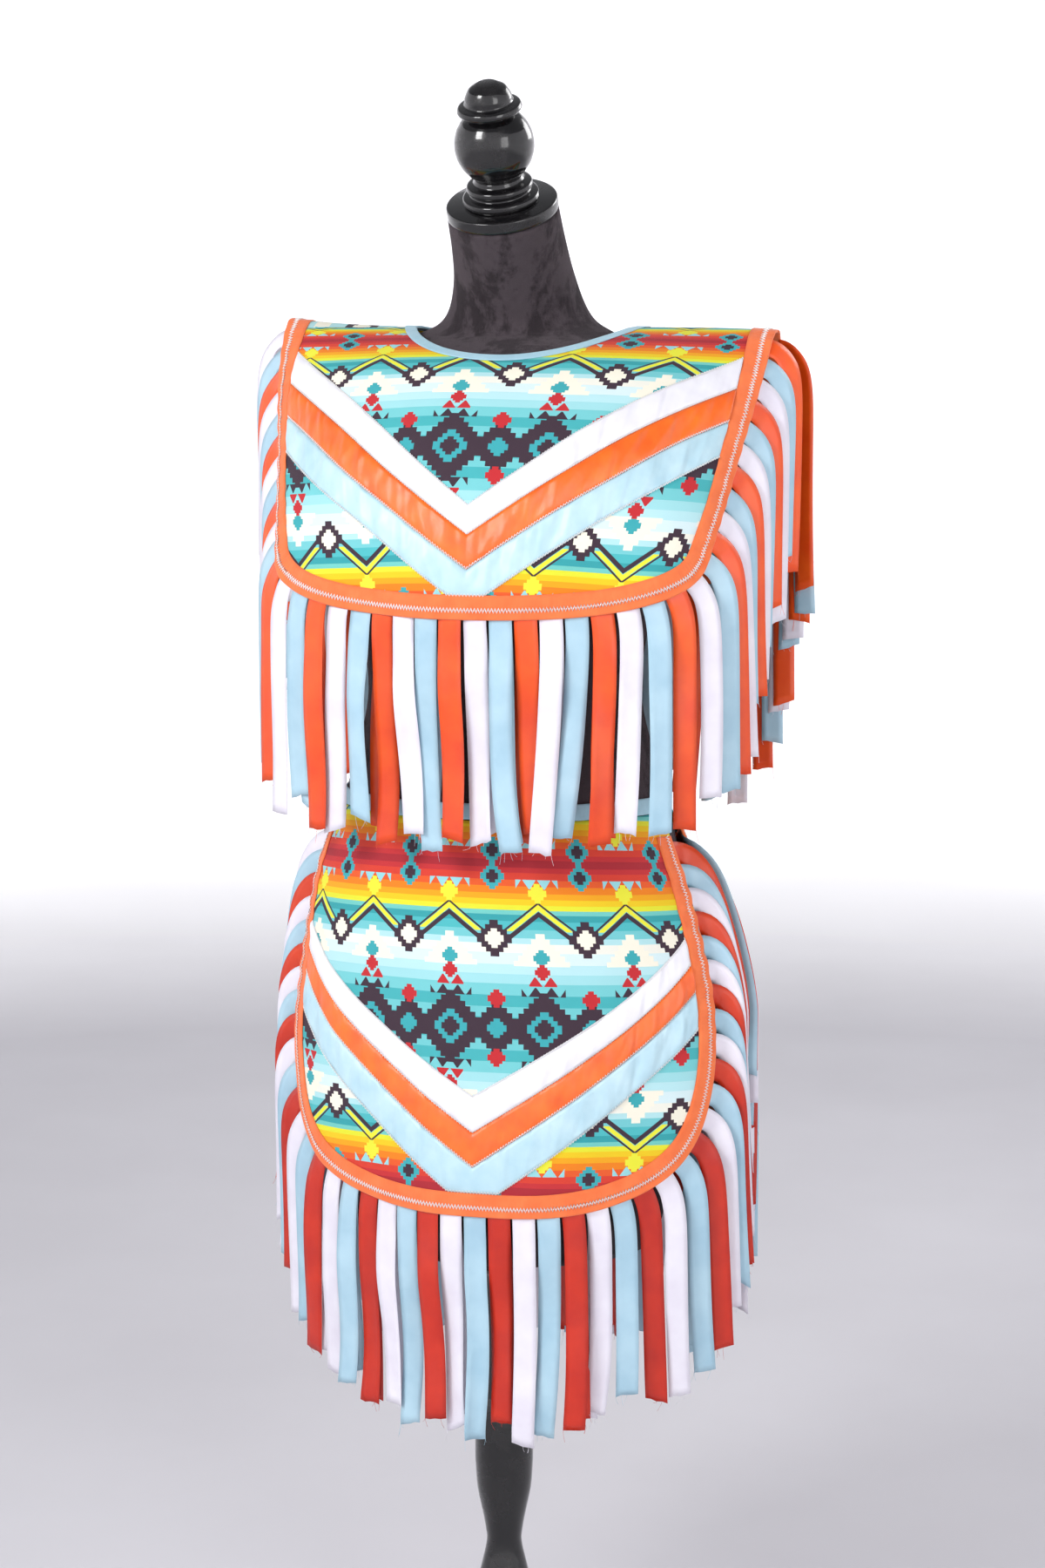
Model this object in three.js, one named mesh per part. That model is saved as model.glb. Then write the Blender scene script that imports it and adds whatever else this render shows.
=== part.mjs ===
// A ribbon-fringed cape and apron, worn by a limbless dress form on a turned stand.
// Millimetres, +Z up, the floor at z = 0 and the stand's axis on x = y = 0.
// The garment's front faces -Y, and +X is the wearer's left.
import * as THREE from 'three';

// ---- cloth ----
const WALL = 1.2;              // cloth wall
const SEAM_GAP = 0.3;          // between pieces that are sewn together
const LAY_GAP = 1;             // between a panel and what lies on it, both being faceted
const BINDING_GAP = 1.8;
const TAPE = 1.0;              // wall of bindings and ribbons
const BINDING_WIDTH = 21;      // folded bias binding, measured on the panel
const NECK_BINDING_WIDTH = 8;
const RIBBON_PITCH = 23.2;     // along the edge, for a 22 mm satin ribbon
const RIBBON_WIDTH = 20.6;
const RIBBON_LENGTH = 205;     // from the edge of the binding to the cut end
const BACKING = 5;             // strip that the ribbons' heads are sewn to
const CAPE_SHIFT = 9;          // the cape and the apron sit a little to the wearer's left
const APRON_SHIFT = 8;
const CAPE_DROOP = 6;          // the cape's end over the wearer's left shoulder is this much lower
const WAIST_Z = 911;           // top edge of the apron's cloth
const WAISTBAND = 15;          // height of the waistband tape
const APRON_DROP = 365;        // top edge to the lowest point

// How ribbons are held and hang. strip: gap between their strip and the binding over it. For
// those at the sides, bend: length over which they turn down; turn: how far they swing from
// the panel's own direction to straight sideways; step and tuck: how far in each goes behind
// the next one's head, at once and per mm of drop; follow: how much they keep to the edge.
const CAPE_SIDES = { strip: 1.2, bend: 20, turn: 0.9, step: 4, tuck: 0.025, follow: 0 };
const APRON_SIDES = { strip: 1.7, bend: 20, turn: 1, step: 3.4, tuck: 0.122, follow: 1 };

// ---- dress form ----
const CAP_CENTRE = { y: 0, z: 1466 };
const NECK_TILT = 27;          // degrees forward from upright
const CAP_RADIUS = 52;
const CAP_THICKNESS = 12;
const BODY_FLOOR_Z = 486;      // underside of the torso
const BASE_RADIUS = 168;
const BASE_HEIGHT = 30;

const degrees = THREE.MathUtils.degToRad;

// ---------------------------------------------------------------- tables

// Value of a named column at a place in the key column, as a smooth curve through the rows.
function column(table, key, name, at) {
  const last = table.length - 1;
  let i = 0;
  while (i < last - 1 && at > table[i + 1][key]) i++;
  const slope = (k) => {
    const a = table[Math.max(k - 1, 0)];
    const b = table[Math.min(k + 1, last)];
    return (b[name] - a[name]) / (b[key] - a[key]);
  };
  const a = table[i];
  const b = table[i + 1];
  const span = b[key] - a[key];
  const f = (at - a[key]) / span;
  const f2 = f * f;
  const f3 = f2 * f;
  return a[name] * (2 * f3 - 3 * f2 + 1) + b[name] * (3 * f2 - 2 * f3)
    + span * (slope(i) * (f3 - 2 * f2 + f) + slope(i + 1) * (f3 - f2));
}

const bothSides = (list) => [...list.slice(1).reverse().map((u) => -u), ...list];

// ---------------------------------------------------------------- meshes

// Collects quads and triangles between numbered points and gives a closed geometry.
class Faces {
  constructor() {
    this.points = [];
    this.index = [];
  }

  point(p) {
    this.points.push(p.x, p.y, p.z);
    return this.points.length / 3 - 1;
  }

  quad(a, b, c, d, turned = false) {
    if (turned) this.index.push(b, c, d, b, d, a);
    else this.index.push(a, b, c, a, c, d);
  }

  triangle(a, b, c) {
    this.index.push(a, b, c);
  }

  geometry() {
    const geometry = new THREE.BufferGeometry();
    geometry.setAttribute('position', new THREE.Float32BufferAttribute(this.points, 3));
    geometry.setIndex(this.index);
    geometry.computeVertexNormals();
    return geometry;
  }
}

// A cloth wall between an outer and an inner grid of points, both rows x columns.
// Seen from outside, rows run down and columns run to the right. A closed wall joins its
// last row to its first. Where turned(i, j) is true a cell is split along its other diagonal,
// so that the two halves of a piece mirror each other.
function wall(outer, inner, { closed = false, turned = () => false } = {}) {
  const faces = new Faces();
  const rows = outer.length;
  const columns = outer[0].length;
  const o = outer.map((row) => row.map((p) => faces.point(p)));
  const n = inner.map((row) => row.map((p) => faces.point(p)));
  const next = (i) => (i + 1) % rows;
  const cells = closed ? rows : rows - 1;
  for (let i = 0; i < cells; i++) {
    const k = next(i);
    for (let j = 0; j < columns - 1; j++) {
      const other = turned(i, j);
      faces.quad(o[i][j], o[k][j], o[k][j + 1], o[i][j + 1], other);
      faces.quad(n[i][j + 1], n[k][j + 1], n[k][j], n[i][j], !other);
    }
    faces.quad(o[i][0], n[i][0], n[k][0], o[k][0]);
    faces.quad(o[i][columns - 1], o[k][columns - 1], n[k][columns - 1], n[i][columns - 1]);
  }
  if (!closed) {
    const z = rows - 1;
    for (let j = 0; j < columns - 1; j++) {
      faces.quad(o[0][j], o[0][j + 1], n[0][j + 1], n[0][j]);
      faces.quad(o[z][j], n[z][j], n[z][j + 1], o[z][j + 1]);
    }
  }
  return faces.geometry();
}

// A solid lofted through closed rings of points, from the bottom up, with flat ends.
// Each ring runs counterclockwise seen from above.
function loft(rings) {
  const faces = new Faces();
  const ids = rings.map((ring) => ring.map((p) => faces.point(p)));
  const around = rings[0].length;
  for (let i = 0; i < rings.length - 1; i++) {
    for (let j = 0; j < around; j++) {
      const k = (j + 1) % around;
      faces.quad(ids[i][j], ids[i][k], ids[i + 1][k], ids[i + 1][j]);
    }
  }
  const centre = (ring) => ring.reduce((sum, p) => sum.add(p), new THREE.Vector3())
    .divideScalar(ring.length);
  const bottom = faces.point(centre(rings[0]));
  const top = faces.point(centre(rings[rings.length - 1]));
  for (let j = 0; j < around; j++) {
    const k = (j + 1) % around;
    faces.triangle(bottom, ids[0][k], ids[0][j]);
    faces.triangle(top, ids[rings.length - 1][j], ids[rings.length - 1][k]);
  }
  return faces.geometry();
}

// A turned solid from a table of radius r and height h, standing on +Z.
function turned(profile, sides) {
  const geometry = new THREE.LatheGeometry(
    [new THREE.Vector2(0, profile[0].h),
      ...profile.map((row) => new THREE.Vector2(row.r, row.h)),
      new THREE.Vector2(0, profile[profile.length - 1].h)],
    sides,
  );
  geometry.rotateX(Math.PI / 2);
  return geometry;
}

const model = new THREE.Group();
model.name = 'ribbon_cape_and_apron';

function add(name, geometry, material, parent = model) {
  const mesh = new THREE.Mesh(geometry, material);
  mesh.name = name;
  parent.add(mesh);
  return mesh;
}

const finish = (color, roughness, metalness = 0) => new THREE.MeshStandardMaterial(
  { color, roughness, metalness });
const VELVET = finish(0x2b2529, 0.95);
const GLOSS_BLACK = finish(0x0c0b0d, 0.25);
const PRINT = finish(0x8fc9cc, 0.8);
const ORANGE_BIAS = finish(0xe8763a, 0.75);
const BLUE_BIAS = finish(0xa9d3e0, 0.7);
const SATIN_ORANGE = finish(0xee5a1c, 0.35);
const SATIN_WHITE = finish(0xf1eef4, 0.35);
const SATIN_BLUE = finish(0xa8cfe0, 0.35);

// ---------------------------------------------------------------- dress form

// Sections of the torso from the bottom up: half the width, then where the section's front
// and back lie along y. Each is an ellipse.
const TORSO = [
  { z: BODY_FLOOR_Z, half: 148, front: -112, back: 126 },
  { z: 560, half: 164, front: -120, back: 140 },
  { z: 660, half: 175, front: -124, back: 152 },
  { z: 760, half: 177, front: -122, back: 153 },
  { z: 860, half: 167, front: -113, back: 138 },
  { z: 925, half: 154, front: -105, back: 120 },
  { z: 1014, half: 132, front: -95, back: 101 },
  { z: 1080, half: 138, front: -101, back: 100 },
  { z: 1150, half: 151, front: -122, back: 104 },
  { z: 1205, half: 159, front: -138, back: 107 },
  { z: 1265, half: 164, front: -117, back: 109 },
  { z: 1300, half: 166, front: -87, back: 110 },
  { z: 1328, half: 156, front: -56, back: 108 },
  { z: 1344, half: 128, front: -26, back: 104 },
];
const TORSO_SIDES = 24;
const WAISTBAND_TOP = WAIST_Z + SEAM_GAP + WAISTBAND;
const TORSO_RINGS = [BODY_FLOOR_Z, BODY_FLOOR_Z + 9, 560, 660, 760, 825, 872, WAIST_Z,
  WAISTBAND_TOP, 970, 1014, 1060, 1110, 1160, 1205, 1240, 1270, 1297, 1320, 1335, 1344];
const BOTTOM_ROUNDING = 10;    // the torso's lower edge is drawn in by this much

// The neck's rings lean more and more: centre, tilt in degrees, half width and half depth.
const NECK = [
  { y: 48, z: 1355, tilt: 3, half: 95, depth: 53 },
  { y: 51, z: 1365, tilt: 8, half: 76, depth: 53 },
  { y: 49, z: 1381, tilt: 14, half: 65, depth: 51 },
  { y: 37, z: 1409, tilt: 21, half: 57, depth: 51 },
  { y: 19, z: 1438, tilt: 25, half: 53.5, depth: 51 },
  { y: CAP_CENTRE.y, z: CAP_CENTRE.z, tilt: NECK_TILT, half: 52, depth: 51 },
];

function torsoSection(z) {
  const at = (name) => column(TORSO, 'z', name, z);
  return {
    half: at('half'),
    centre: (at('front') + at('back')) / 2,
    depth: (at('back') - at('front')) / 2,
  };
}

function torsoRing(z, inset = 0) {
  const { half, centre, depth } = torsoSection(z);
  return Array.from({ length: TORSO_SIDES }, (_, j) => {
    const a = (2 * Math.PI * j) / TORSO_SIDES;
    return new THREE.Vector3(
      (half - inset) * Math.cos(a), centre + (depth - inset) * Math.sin(a), z);
  });
}

function neckRing({ y, z, tilt, half, depth }) {
  const lean = degrees(tilt);
  return Array.from({ length: TORSO_SIDES }, (_, j) => {
    const a = (2 * Math.PI * j) / TORSO_SIDES;
    const across = depth * Math.sin(a);
    return new THREE.Vector3(
      half * Math.cos(a), y + across * Math.cos(lean), z + across * Math.sin(lean));
  });
}

function buildForm() {
  const rings = TORSO_RINGS.map((z, i) => torsoRing(z, i === 0 ? BOTTOM_ROUNDING : 0));
  add('form_torso', loft([...rings, ...NECK.map(neckRing)]), VELVET);

  const head = new THREE.Group();
  head.position.set(0, CAP_CENTRE.y, CAP_CENTRE.z);
  head.rotation.x = degrees(NECK_TILT);
  model.add(head);
  const rim = 1.5;
  add('form_cap', turned([
    { r: CAP_RADIUS - rim, h: SEAM_GAP },
    { r: CAP_RADIUS, h: SEAM_GAP + rim },
    { r: CAP_RADIUS, h: CAP_THICKNESS - rim },
    { r: CAP_RADIUS - rim, h: CAP_THICKNESS },
  ], 24), GLOSS_BLACK, head);
  const finial = add('form_finial', turned([
    { r: 35, h: 0 }, { r: 36, h: 3 }, { r: 35, h: 7 }, { r: 29, h: 9 }, { r: 28.5, h: 11 },
    { r: 31, h: 14 }, { r: 30, h: 18 }, { r: 24, h: 20 }, { r: 22, h: 24 },
    ...[-55, -35, -12, 12, 35, 55].map((a) => (
      { r: 37 * Math.cos(degrees(a)), h: 55 + 37 * Math.sin(degrees(a)) })),
    { r: 28, h: 87 }, { r: 30, h: 90 }, { r: 28.5, h: 94 }, { r: 22.5, h: 96 },
    { r: 21.5, h: 102 }, { r: 17, h: 110 }, { r: 9, h: 114.5 },
  ], 18), GLOSS_BLACK, head);
  finial.position.z = CAP_THICKNESS + SEAM_GAP;

  add('form_pole', turned([
    { r: 33, h: BASE_HEIGHT + SEAM_GAP }, { r: 34, h: 40 }, { r: 30, h: 48 },
    { r: 26, h: 60 }, { r: 31, h: 82 }, { r: 31, h: 100 },
    { r: 25, h: 140 }, { r: 18.5, h: 168 }, { r: 17, h: 180 }, { r: 20, h: 200 },
    { r: 26.5, h: 232 }, { r: 28.5, h: 262 }, { r: 28, h: 290 }, { r: 24, h: 318 },
    { r: 21, h: 335 }, { r: 21, h: 448 }, { r: 32, h: 456 },
    { r: 32, h: BODY_FLOOR_Z - SEAM_GAP },
  ], 16), GLOSS_BLACK);
  add('form_base', turned([
    { r: BASE_RADIUS - 3, h: 0 }, { r: BASE_RADIUS, h: 3 }, { r: BASE_RADIUS, h: 11 },
    { r: BASE_RADIUS - 6, h: 16 }, { r: BASE_RADIUS - 40, h: 20 }, { r: 70, h: 25 },
    { r: 52, h: BASE_HEIGHT },
  ], 28), GLOSS_BLACK);
}

// ---------------------------------------------------------------- panels

// A panel is a surface of u, from -1 to 1 across it, and t, from 0 at its top to 1 at its
// lowest level. At each level the plan is an arc of an ellipse: it is half wide each side of
// the middle, its middle lies at midY, midZ and its sides at edgeY, edgeZ, and bow is the
// ellipse's angle there, in degrees. facing is -1 for a front panel and 1 for a back one.
// place(t) gives its shift along x and how much lower its end on the wearer's left hangs.
class Panel {
  constructor({ levels, facing, place, rows, columns, sideEnd, corner, neck = null }) {
    Object.assign(this, { levels, facing, place, rows, columns, sideEnd, corner, neck });
  }

  at(u, t) {
    const value = (name) => column(this.levels, 't', name, t);
    const bow = degrees(value('bow'));
    const across = Math.sin(u * bow) / Math.sin(bow);
    const round = (1 - Math.cos(u * bow)) / (1 - Math.cos(bow));
    const { shift, droop } = this.place(t);
    return new THREE.Vector3(
      shift - this.facing * value('half') * across,
      value('midY') + (value('edgeY') - value('midY')) * round,
      value('midZ') + (value('edgeZ') - value('midZ')) * round + this.facing * droop * u * u * u);
  }

  slopes(u, t) {
    const d = 1e-3;
    const low = Math.max(t - d, 0);
    return {
      du: this.at(u + d, t).sub(this.at(u - d, t)).divideScalar(2 * d),
      dt: this.at(u, t + d).sub(this.at(u, low)).divideScalar(t + d - low),
    };
  }

  normal(u, t) {
    const { du, dt } = this.slopes(u, t);
    return dt.cross(du).normalize();
  }

  // The point at u, t moved out from the cloth's middle by out.
  point(u, t, out) {
    return this.at(u, t).addScaledVector(this.normal(u, t), out);
  }

  // Where one gets from u, t by going distance over the cloth in a direction of space.
  walk(u, t, direction, distance) {
    const steps = 3;
    let place = { u, t };
    for (let i = 0; i < steps; i++) {
      const { du, dt } = this.slopes(place.u, place.t);
      const a = du.dot(du);
      const b = du.dot(dt);
      const c = dt.dot(dt);
      const p = du.dot(direction);
      const q = dt.dot(direction);
      const step = distance / steps / (a * c - b * b);
      place = { u: place.u + (c * p - b * q) * step, t: place.t + (a * q - b * p) * step };
    }
    return place;
  }

  // How far the side edge moves, level, from one height to a lower one.
  sideShift(side, high, low) {
    const at = (z) => {
      let [a, b] = [0, this.sideEnd];
      for (let i = 0; i < 20; i++) {
        const middle = (a + b) / 2;
        if (this.at(side, middle).z > z) a = middle;
        else b = middle;
      }
      return this.at(side, a);
    };
    return at(low).sub(at(high)).setZ(0);
  }

  // Lowest t of the cloth at u: straight sides down to sideEnd, then a rounded hem.
  hem(u) {
    const reach = Math.max(0, 1 - Math.abs(u) ** this.corner);
    return this.sideEnd + (1 - this.sideEnd) * reach ** (1 / this.corner);
  }

  // Highest t of the cloth at u: 0, or the neckline's half ellipse.
  top(u) {
    if (!this.neck || Math.abs(u) >= this.neck.u) return 0;
    return this.neck.dip * Math.sqrt(1 - (u / this.neck.u) ** 2);
  }

  // The cut edge from the start side, round the hem and up, as places spaced evenly by length.
  edge(from, count) {
    const fine = 400;
    const raw = [];
    for (let i = 0; i <= fine; i++) {
      const f = i / fine;
      const side = 0.3;
      if (f < side) {
        raw.push({ u: -1, t: from + (this.sideEnd - from) * (f / side) });
      } else if (f > 1 - side) {
        raw.push({ u: 1, t: from + (this.sideEnd - from) * ((1 - f) / side) });
      } else {
        const a = Math.PI * (1 - (f - side) / (1 - 2 * side));
        const power = 2 / this.corner;
        raw.push({
          u: Math.sign(Math.cos(a)) * Math.abs(Math.cos(a)) ** power,
          t: this.sideEnd + (1 - this.sideEnd) * Math.sin(a) ** power,
        });
      }
    }
    return this.spaced(raw, count);
  }

  // The cut edge again, as the places of the cloth's own corner points from t = from on.
  corners(from) {
    const side = this.rows.map((f) => f * this.sideEnd).filter((t) => t > from * 1.5);
    const left = [from, ...side].map((t) => ({ u: -1, t }));
    const hem = this.columns.slice(1, -1).map((u) => ({ u, t: this.hem(u) }));
    const right = [...left].reverse().map(({ t }) => ({ u: 1, t }));
    return this.framed([...left, ...hem, ...right]);
  }

  // count places at equal steps of length along a list of places.
  spaced(raw, count) {
    const points = raw.map(({ u, t }) => this.at(u, t));
    const run = [0];
    for (let i = 1; i < points.length; i++) {
      run.push(run[i - 1] + points[i].distanceTo(points[i - 1]));
    }
    const total = run[run.length - 1];
    const places = [];
    let i = 0;
    for (let k = 0; k < count; k++) {
      const target = (total * k) / (count - 1);
      while (i < run.length - 2 && run[i + 1] < target) i++;
      const f = (target - run[i]) / (run[i + 1] - run[i]);
      places.push({
        u: raw[i].u + (raw[i + 1].u - raw[i].u) * f,
        t: raw[i].t + (raw[i + 1].t - raw[i].t) * f,
      });
    }
    places.total = total;
    return this.framed(places);
  }

  // Adds to each place its point, outward normal, direction along the edge and direction in.
  framed(places) {
    const last = places.length - 1;
    places.forEach((place, i) => {
      const a = places[Math.max(i - 1, 0)];
      const b = places[Math.min(i + 1, last)];
      place.point = this.at(place.u, place.t);
      place.normal = this.normal(place.u, place.t);
      place.along = this.at(b.u, b.t).sub(this.at(a.u, a.t)).normalize();
      place.inward = new THREE.Vector3().crossVectors(place.normal, place.along).normalize();
    });
    return places;
  }
}

// The cloth of a panel: a grid whose columns run from its top edge to its hem.
function panelCloth(panel) {
  const grid = (out) => panel.rows.map((f) => panel.columns.map((u) => {
    const top = panel.top(u);
    return panel.point(u, top + (panel.hem(u) - top) * f, out);
  }));
  return wall(grid(WALL / 2), grid(-WALL / 2),
    { turned: (i, j) => j < (panel.columns.length - 1) / 2 });
}

// A binding folded over an edge: a front leg, the fold and a back leg, width wide.
function foldedBinding(panel, places, width, closed = false) {
  const near = WALL / 2 + BINDING_GAP;
  const far = near + TAPE;
  const section = (place, offset, over) => {
    const inner = (place.panel ?? panel).walk(place.u, place.t, place.inward, width);
    const fold = place.point.clone().addScaledVector(place.inward, -over);
    const leg = (sign) => (place.panel ?? panel).point(inner.u, inner.t, sign * offset);
    return [
      leg(-1),
      fold.clone().addScaledVector(place.normal, -offset),
      fold.clone().addScaledVector(place.normal, offset),
      leg(1),
    ];
  };
  const outer = places.map((place) => section(place, far, SEAM_GAP + TAPE));
  const inner = places.map((place) => section(place, near, SEAM_GAP));
  const half = closed ? places.length / 4 : (places.length - 1) / 2;
  return wall(outer, inner, { closed, turned: (i) => i % (2 * half) < half });
}

// ---------------------------------------------------------------- ribbons

// One ribbon's shape: it leaves its head in the direction out, turns down and hangs. Its width
// turns from the edge's direction to hangAcross. As it drops it moves in behind the next one,
// and along with the panel's side edge.
function ribbonStations(panel, head, sides, stations, sway) {
  const firstAngle = Math.atan2(Math.hypot(head.out.x, head.out.y), -head.out.z);
  const outward = new THREE.Vector3(head.out.x, head.out.y, 0).normalize();
  const tangentAt = (gone) => {
    const fall = Math.exp(-((gone / sides.bend) ** 1.3));
    const angle = firstAngle * fall;
    const way = outward.clone().lerp(head.sideWay, sides.turn
      * THREE.MathUtils.smoothstep(gone, 0, 20)).normalize();
    return way.multiplyScalar(Math.sin(angle))
      .add(new THREE.Vector3(0, 0, -Math.cos(angle)));
  };
  const centre = head.point.clone();
  let gone = 0;
  return stations.map((station) => {
    const pieces = Math.max(1, Math.ceil((station - gone) / 6));
    const step = (station - gone) / pieces;
    for (let i = 0; i < pieces; i++) {
      centre.addScaledVector(tangentAt(gone + step / 2), step);
      gone += step;
    }
    const tangent = tangentAt(gone);
    const turn = THREE.MathUtils.smoothstep(gone, 0, 1.6 * sides.bend);
    const across = head.along.clone().lerp(head.hangAcross, turn);
    across.addScaledVector(tangent, -across.dot(tangent)).normalize();
    const face = new THREE.Vector3().crossVectors(tangent, across).normalize();
    const drop = head.point.z - centre.z;
    return {
      centre: centre.clone()
        .addScaledVector(head.towardsBody, head.sideways
          * (sides.step * THREE.MathUtils.smoothstep(gone, 0, 20) + sides.tuck * Math.max(drop, 0)))
        .addScaledVector(panel.sideShift(head.side, head.point.z, centre.z),
          sides.follow * head.sideways)
        .addScaledVector(head.hangAcross, sway.across * (gone / RIBBON_LENGTH) ** 1.5)
        .addScaledVector(face, sway.face * Math.min(1, gone / 90)),
      across,
      face,
    };
  });
}

// Ribbons along a panel's edge, all fused into the narrow strip that their heads are sewn to.
// The strip lies behind the binding, and each ribbon comes out from under the edge.
function fringe(panel, from, sides) {
  const faces = new Faces();
  const under = -(WALL / 2 + BINDING_GAP + TAPE + sides.strip);
  const probe = panel.edge(from, 3);
  const count = Math.round(probe.total / RIBBON_PITCH);
  const places = panel.edge(from, 2 * count + 1);
  const half = RIBBON_WIDTH / 2;
  const strip = [];
  for (let i = 0; i < count; i++) {
    const place = places[2 * i + 1];
    const out = place.inward.clone().negate();
    const sideways = Math.hypot(out.x, out.y);
    const side = Math.sign(place.u);
    const level = panel.slopes(place.u, place.t).du.setZ(0).normalize()
      .lerp(new THREE.Vector3(-panel.facing, 0, 0), sides.turn).normalize();
    const sideWay = new THREE.Vector3(-panel.facing * side, 0, 0);
    const hangAcross = new THREE.Vector3(place.along.x, place.along.y, 0)
      .addScaledVector(level, Math.abs(place.along.z)).normalize();
    const towardsBody = new THREE.Vector3(-level.y, level.x, 0);
    const rim = (sign, inset, depth) => {
      const at = panel.walk(place.u, place.t, place.along, sign * half);
      const inner = panel.walk(at.u, at.t, place.inward, inset);
      return panel.point(inner.u, inner.t, depth);
    };
    const wave = 2 * i + (panel.facing > 0 ? 1 : 0);
    const free = 1 - sideways;
    const sway = { across: 4 * free * Math.sin(wave), face: free * free * (i % 2 ? -3.5 : 2.5) };
    const head = {
      point: panel.point(place.u, place.t, under - TAPE / 2),
      out, along: place.along, hangAcross, towardsBody, sideWay, side, sideways,
    };
    const length = RIBBON_LENGTH + 5 * Math.sin(3.7 * i + 1);
    const stations = sideways < 0.25 ? [length] : [22, 62, length];
    const row = [[rim(-1, BACKING, under), rim(1, BACKING, under),
      rim(-1, BACKING, under - TAPE), rim(1, BACKING, under - TAPE)],
    [rim(-1, 0, under), rim(1, 0, under), rim(-1, 0, under - TAPE), rim(1, 0, under - TAPE)]];
    ribbonStations(panel, head, sides, stations, sway).forEach(({ centre, across, face }) => {
      const corner = (side, depth) => centre.clone().addScaledVector(across, side * half)
        .addScaledVector(face, depth * TAPE / 2);
      // face points to the cloth's outer side when across follows the edge
      row.push([corner(-1, 1), corner(1, 1), corner(-1, -1), corner(1, -1)]);
    });
    strip.push(row.map((corners) => corners.map((p) => faces.point(p))));
  }
  strip.forEach((row, i) => {
    // corners: 0 and 1 on the outer side, 2 and 3 on the inner one, 0 and 2 at the start
    for (let k = 0; k < row.length - 1; k++) {
      const [a, b] = [row[k], row[k + 1]];
      faces.quad(a[0], b[0], b[1], a[1]);
      faces.quad(a[2], a[3], b[3], b[2]);
      if (k > 0) {
        faces.quad(a[0], a[2], b[2], b[0]);
        faces.quad(a[1], b[1], b[3], a[3]);
      }
    }
    const head = row[0];
    const root = row[1];
    const end = row[row.length - 1];
    faces.quad(head[0], head[1], head[3], head[2]);
    faces.quad(end[0], end[2], end[3], end[1]);
    if (i === 0) faces.quad(head[0], head[2], root[2], root[0]);
    if (i === strip.length - 1) {
      faces.quad(head[1], root[1], root[3], head[3]);
      return;
    }
    const [head2, root2] = strip[i + 1];
    faces.quad(head[1], root[1], root2[0], head2[0]);
    faces.quad(head[3], head2[2], root2[2], root[3]);
    faces.quad(head[1], head2[0], head2[2], head[3]);
    faces.quad(root[1], root[3], root2[2], root2[0]);
  });
  return faces.geometry();
}

// ---------------------------------------------------------------- chevrons

// A V of three ribbons. Each band runs from a point on the middle line to a point on the
// binding's inner edge, on both sides; tip and end are the t of its upper and lower edges.
function chevronBand(panel, band, cells) {
  const out = WALL / 2 + LAY_GAP;
  const edgeLine = (side, tip, end) => {
    // u where the straight line from the tip reaches the inner edge of the binding
    const clear = BINDING_WIDTH + 1.5;
    const inwards = panel.slopes(side, end).du.normalize().multiplyScalar(-side);
    const inner = panel.walk(side, end, inwards, clear);
    return (f) => {
      const u = inner.u * f;
      const t = tip + (end - tip) * f;
      return { u, t: Math.min(t, hemLimit(panel, u, clear)) };
    };
  };
  const grid = (offset) => {
    const rows = [];
    for (let i = 0; i <= band.across; i++) {
      const f = i / band.across;
      const row = [];
      for (let j = -cells; j <= cells; j++) {
        const side = j < 0 ? -1 : 1;
        const g = Math.abs(j) / cells;
        const upper = edgeLine(side, band.tipTop, band.endTop)(g);
        const lower = edgeLine(side, band.tipLow, band.endLow)(g);
        row.push(panel.point(
          upper.u + (lower.u - upper.u) * f, upper.t + (lower.t - upper.t) * f, offset));
      }
      rows.push(row);
    }
    return rows;
  };
  return wall(grid(out + TAPE), grid(out), { turned: (i, j) => j < cells });
}

// Lowest t that a band may reach at u, clear of the hem's binding.
function hemLimit(panel, u, clear) {
  const { dt } = panel.slopes(u, 0.9);
  return panel.hem(u) - clear / dt.length();
}

function buildChevrons(prefix, panel, bands, cells) {
  bands.forEach((band) => {
    add(`${prefix}_chevron_${band.name}`, chevronBand(panel, band, cells), band.material);
  });
}

// ---------------------------------------------------------------- cape

const RIDGE = { half: 238, midY: 53, midZ: 1360, edgeY: 64, edgeZ: 1363, bow: 54 };
const RIDGE_GAP = 0.6;         // between the panels' middle surfaces at the shoulder seam
const CAPE_FRONT = [
  { t: 0, ...RIDGE },
  { t: 0.03, half: 238, midY: 43, midZ: 1360, edgeY: 56, edgeZ: 1362, bow: 54 },
  { t: 0.09, half: 237, midY: 22, midZ: 1358.5, edgeY: 41, edgeZ: 1353, bow: 54 },
  { t: 0.18, half: 235, midY: -22, midZ: 1349, edgeY: 21, edgeZ: 1328, bow: 54 },
  { t: 0.3, half: 230, midY: -73, midZ: 1325, edgeY: -2, edgeZ: 1293, bow: 54 },
  { t: 0.45, half: 222, midY: -117, midZ: 1280, edgeY: -26, edgeZ: 1250, bow: 54 },
  { t: 0.6, half: 215, midY: -143, midZ: 1230, edgeY: -50, edgeZ: 1208, bow: 58 },
  { t: 0.75, half: 208, midY: -153, midZ: 1180, edgeY: -75, edgeZ: 1170, bow: 55 },
  { t: 0.9, half: 202, midY: -157, midZ: 1132, edgeY: -98, edgeZ: 1134, bow: 52 },
  { t: 1, half: 198, midY: -158, midZ: 1102, edgeY: -110, edgeZ: 1110, bow: 50 },
];
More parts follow.
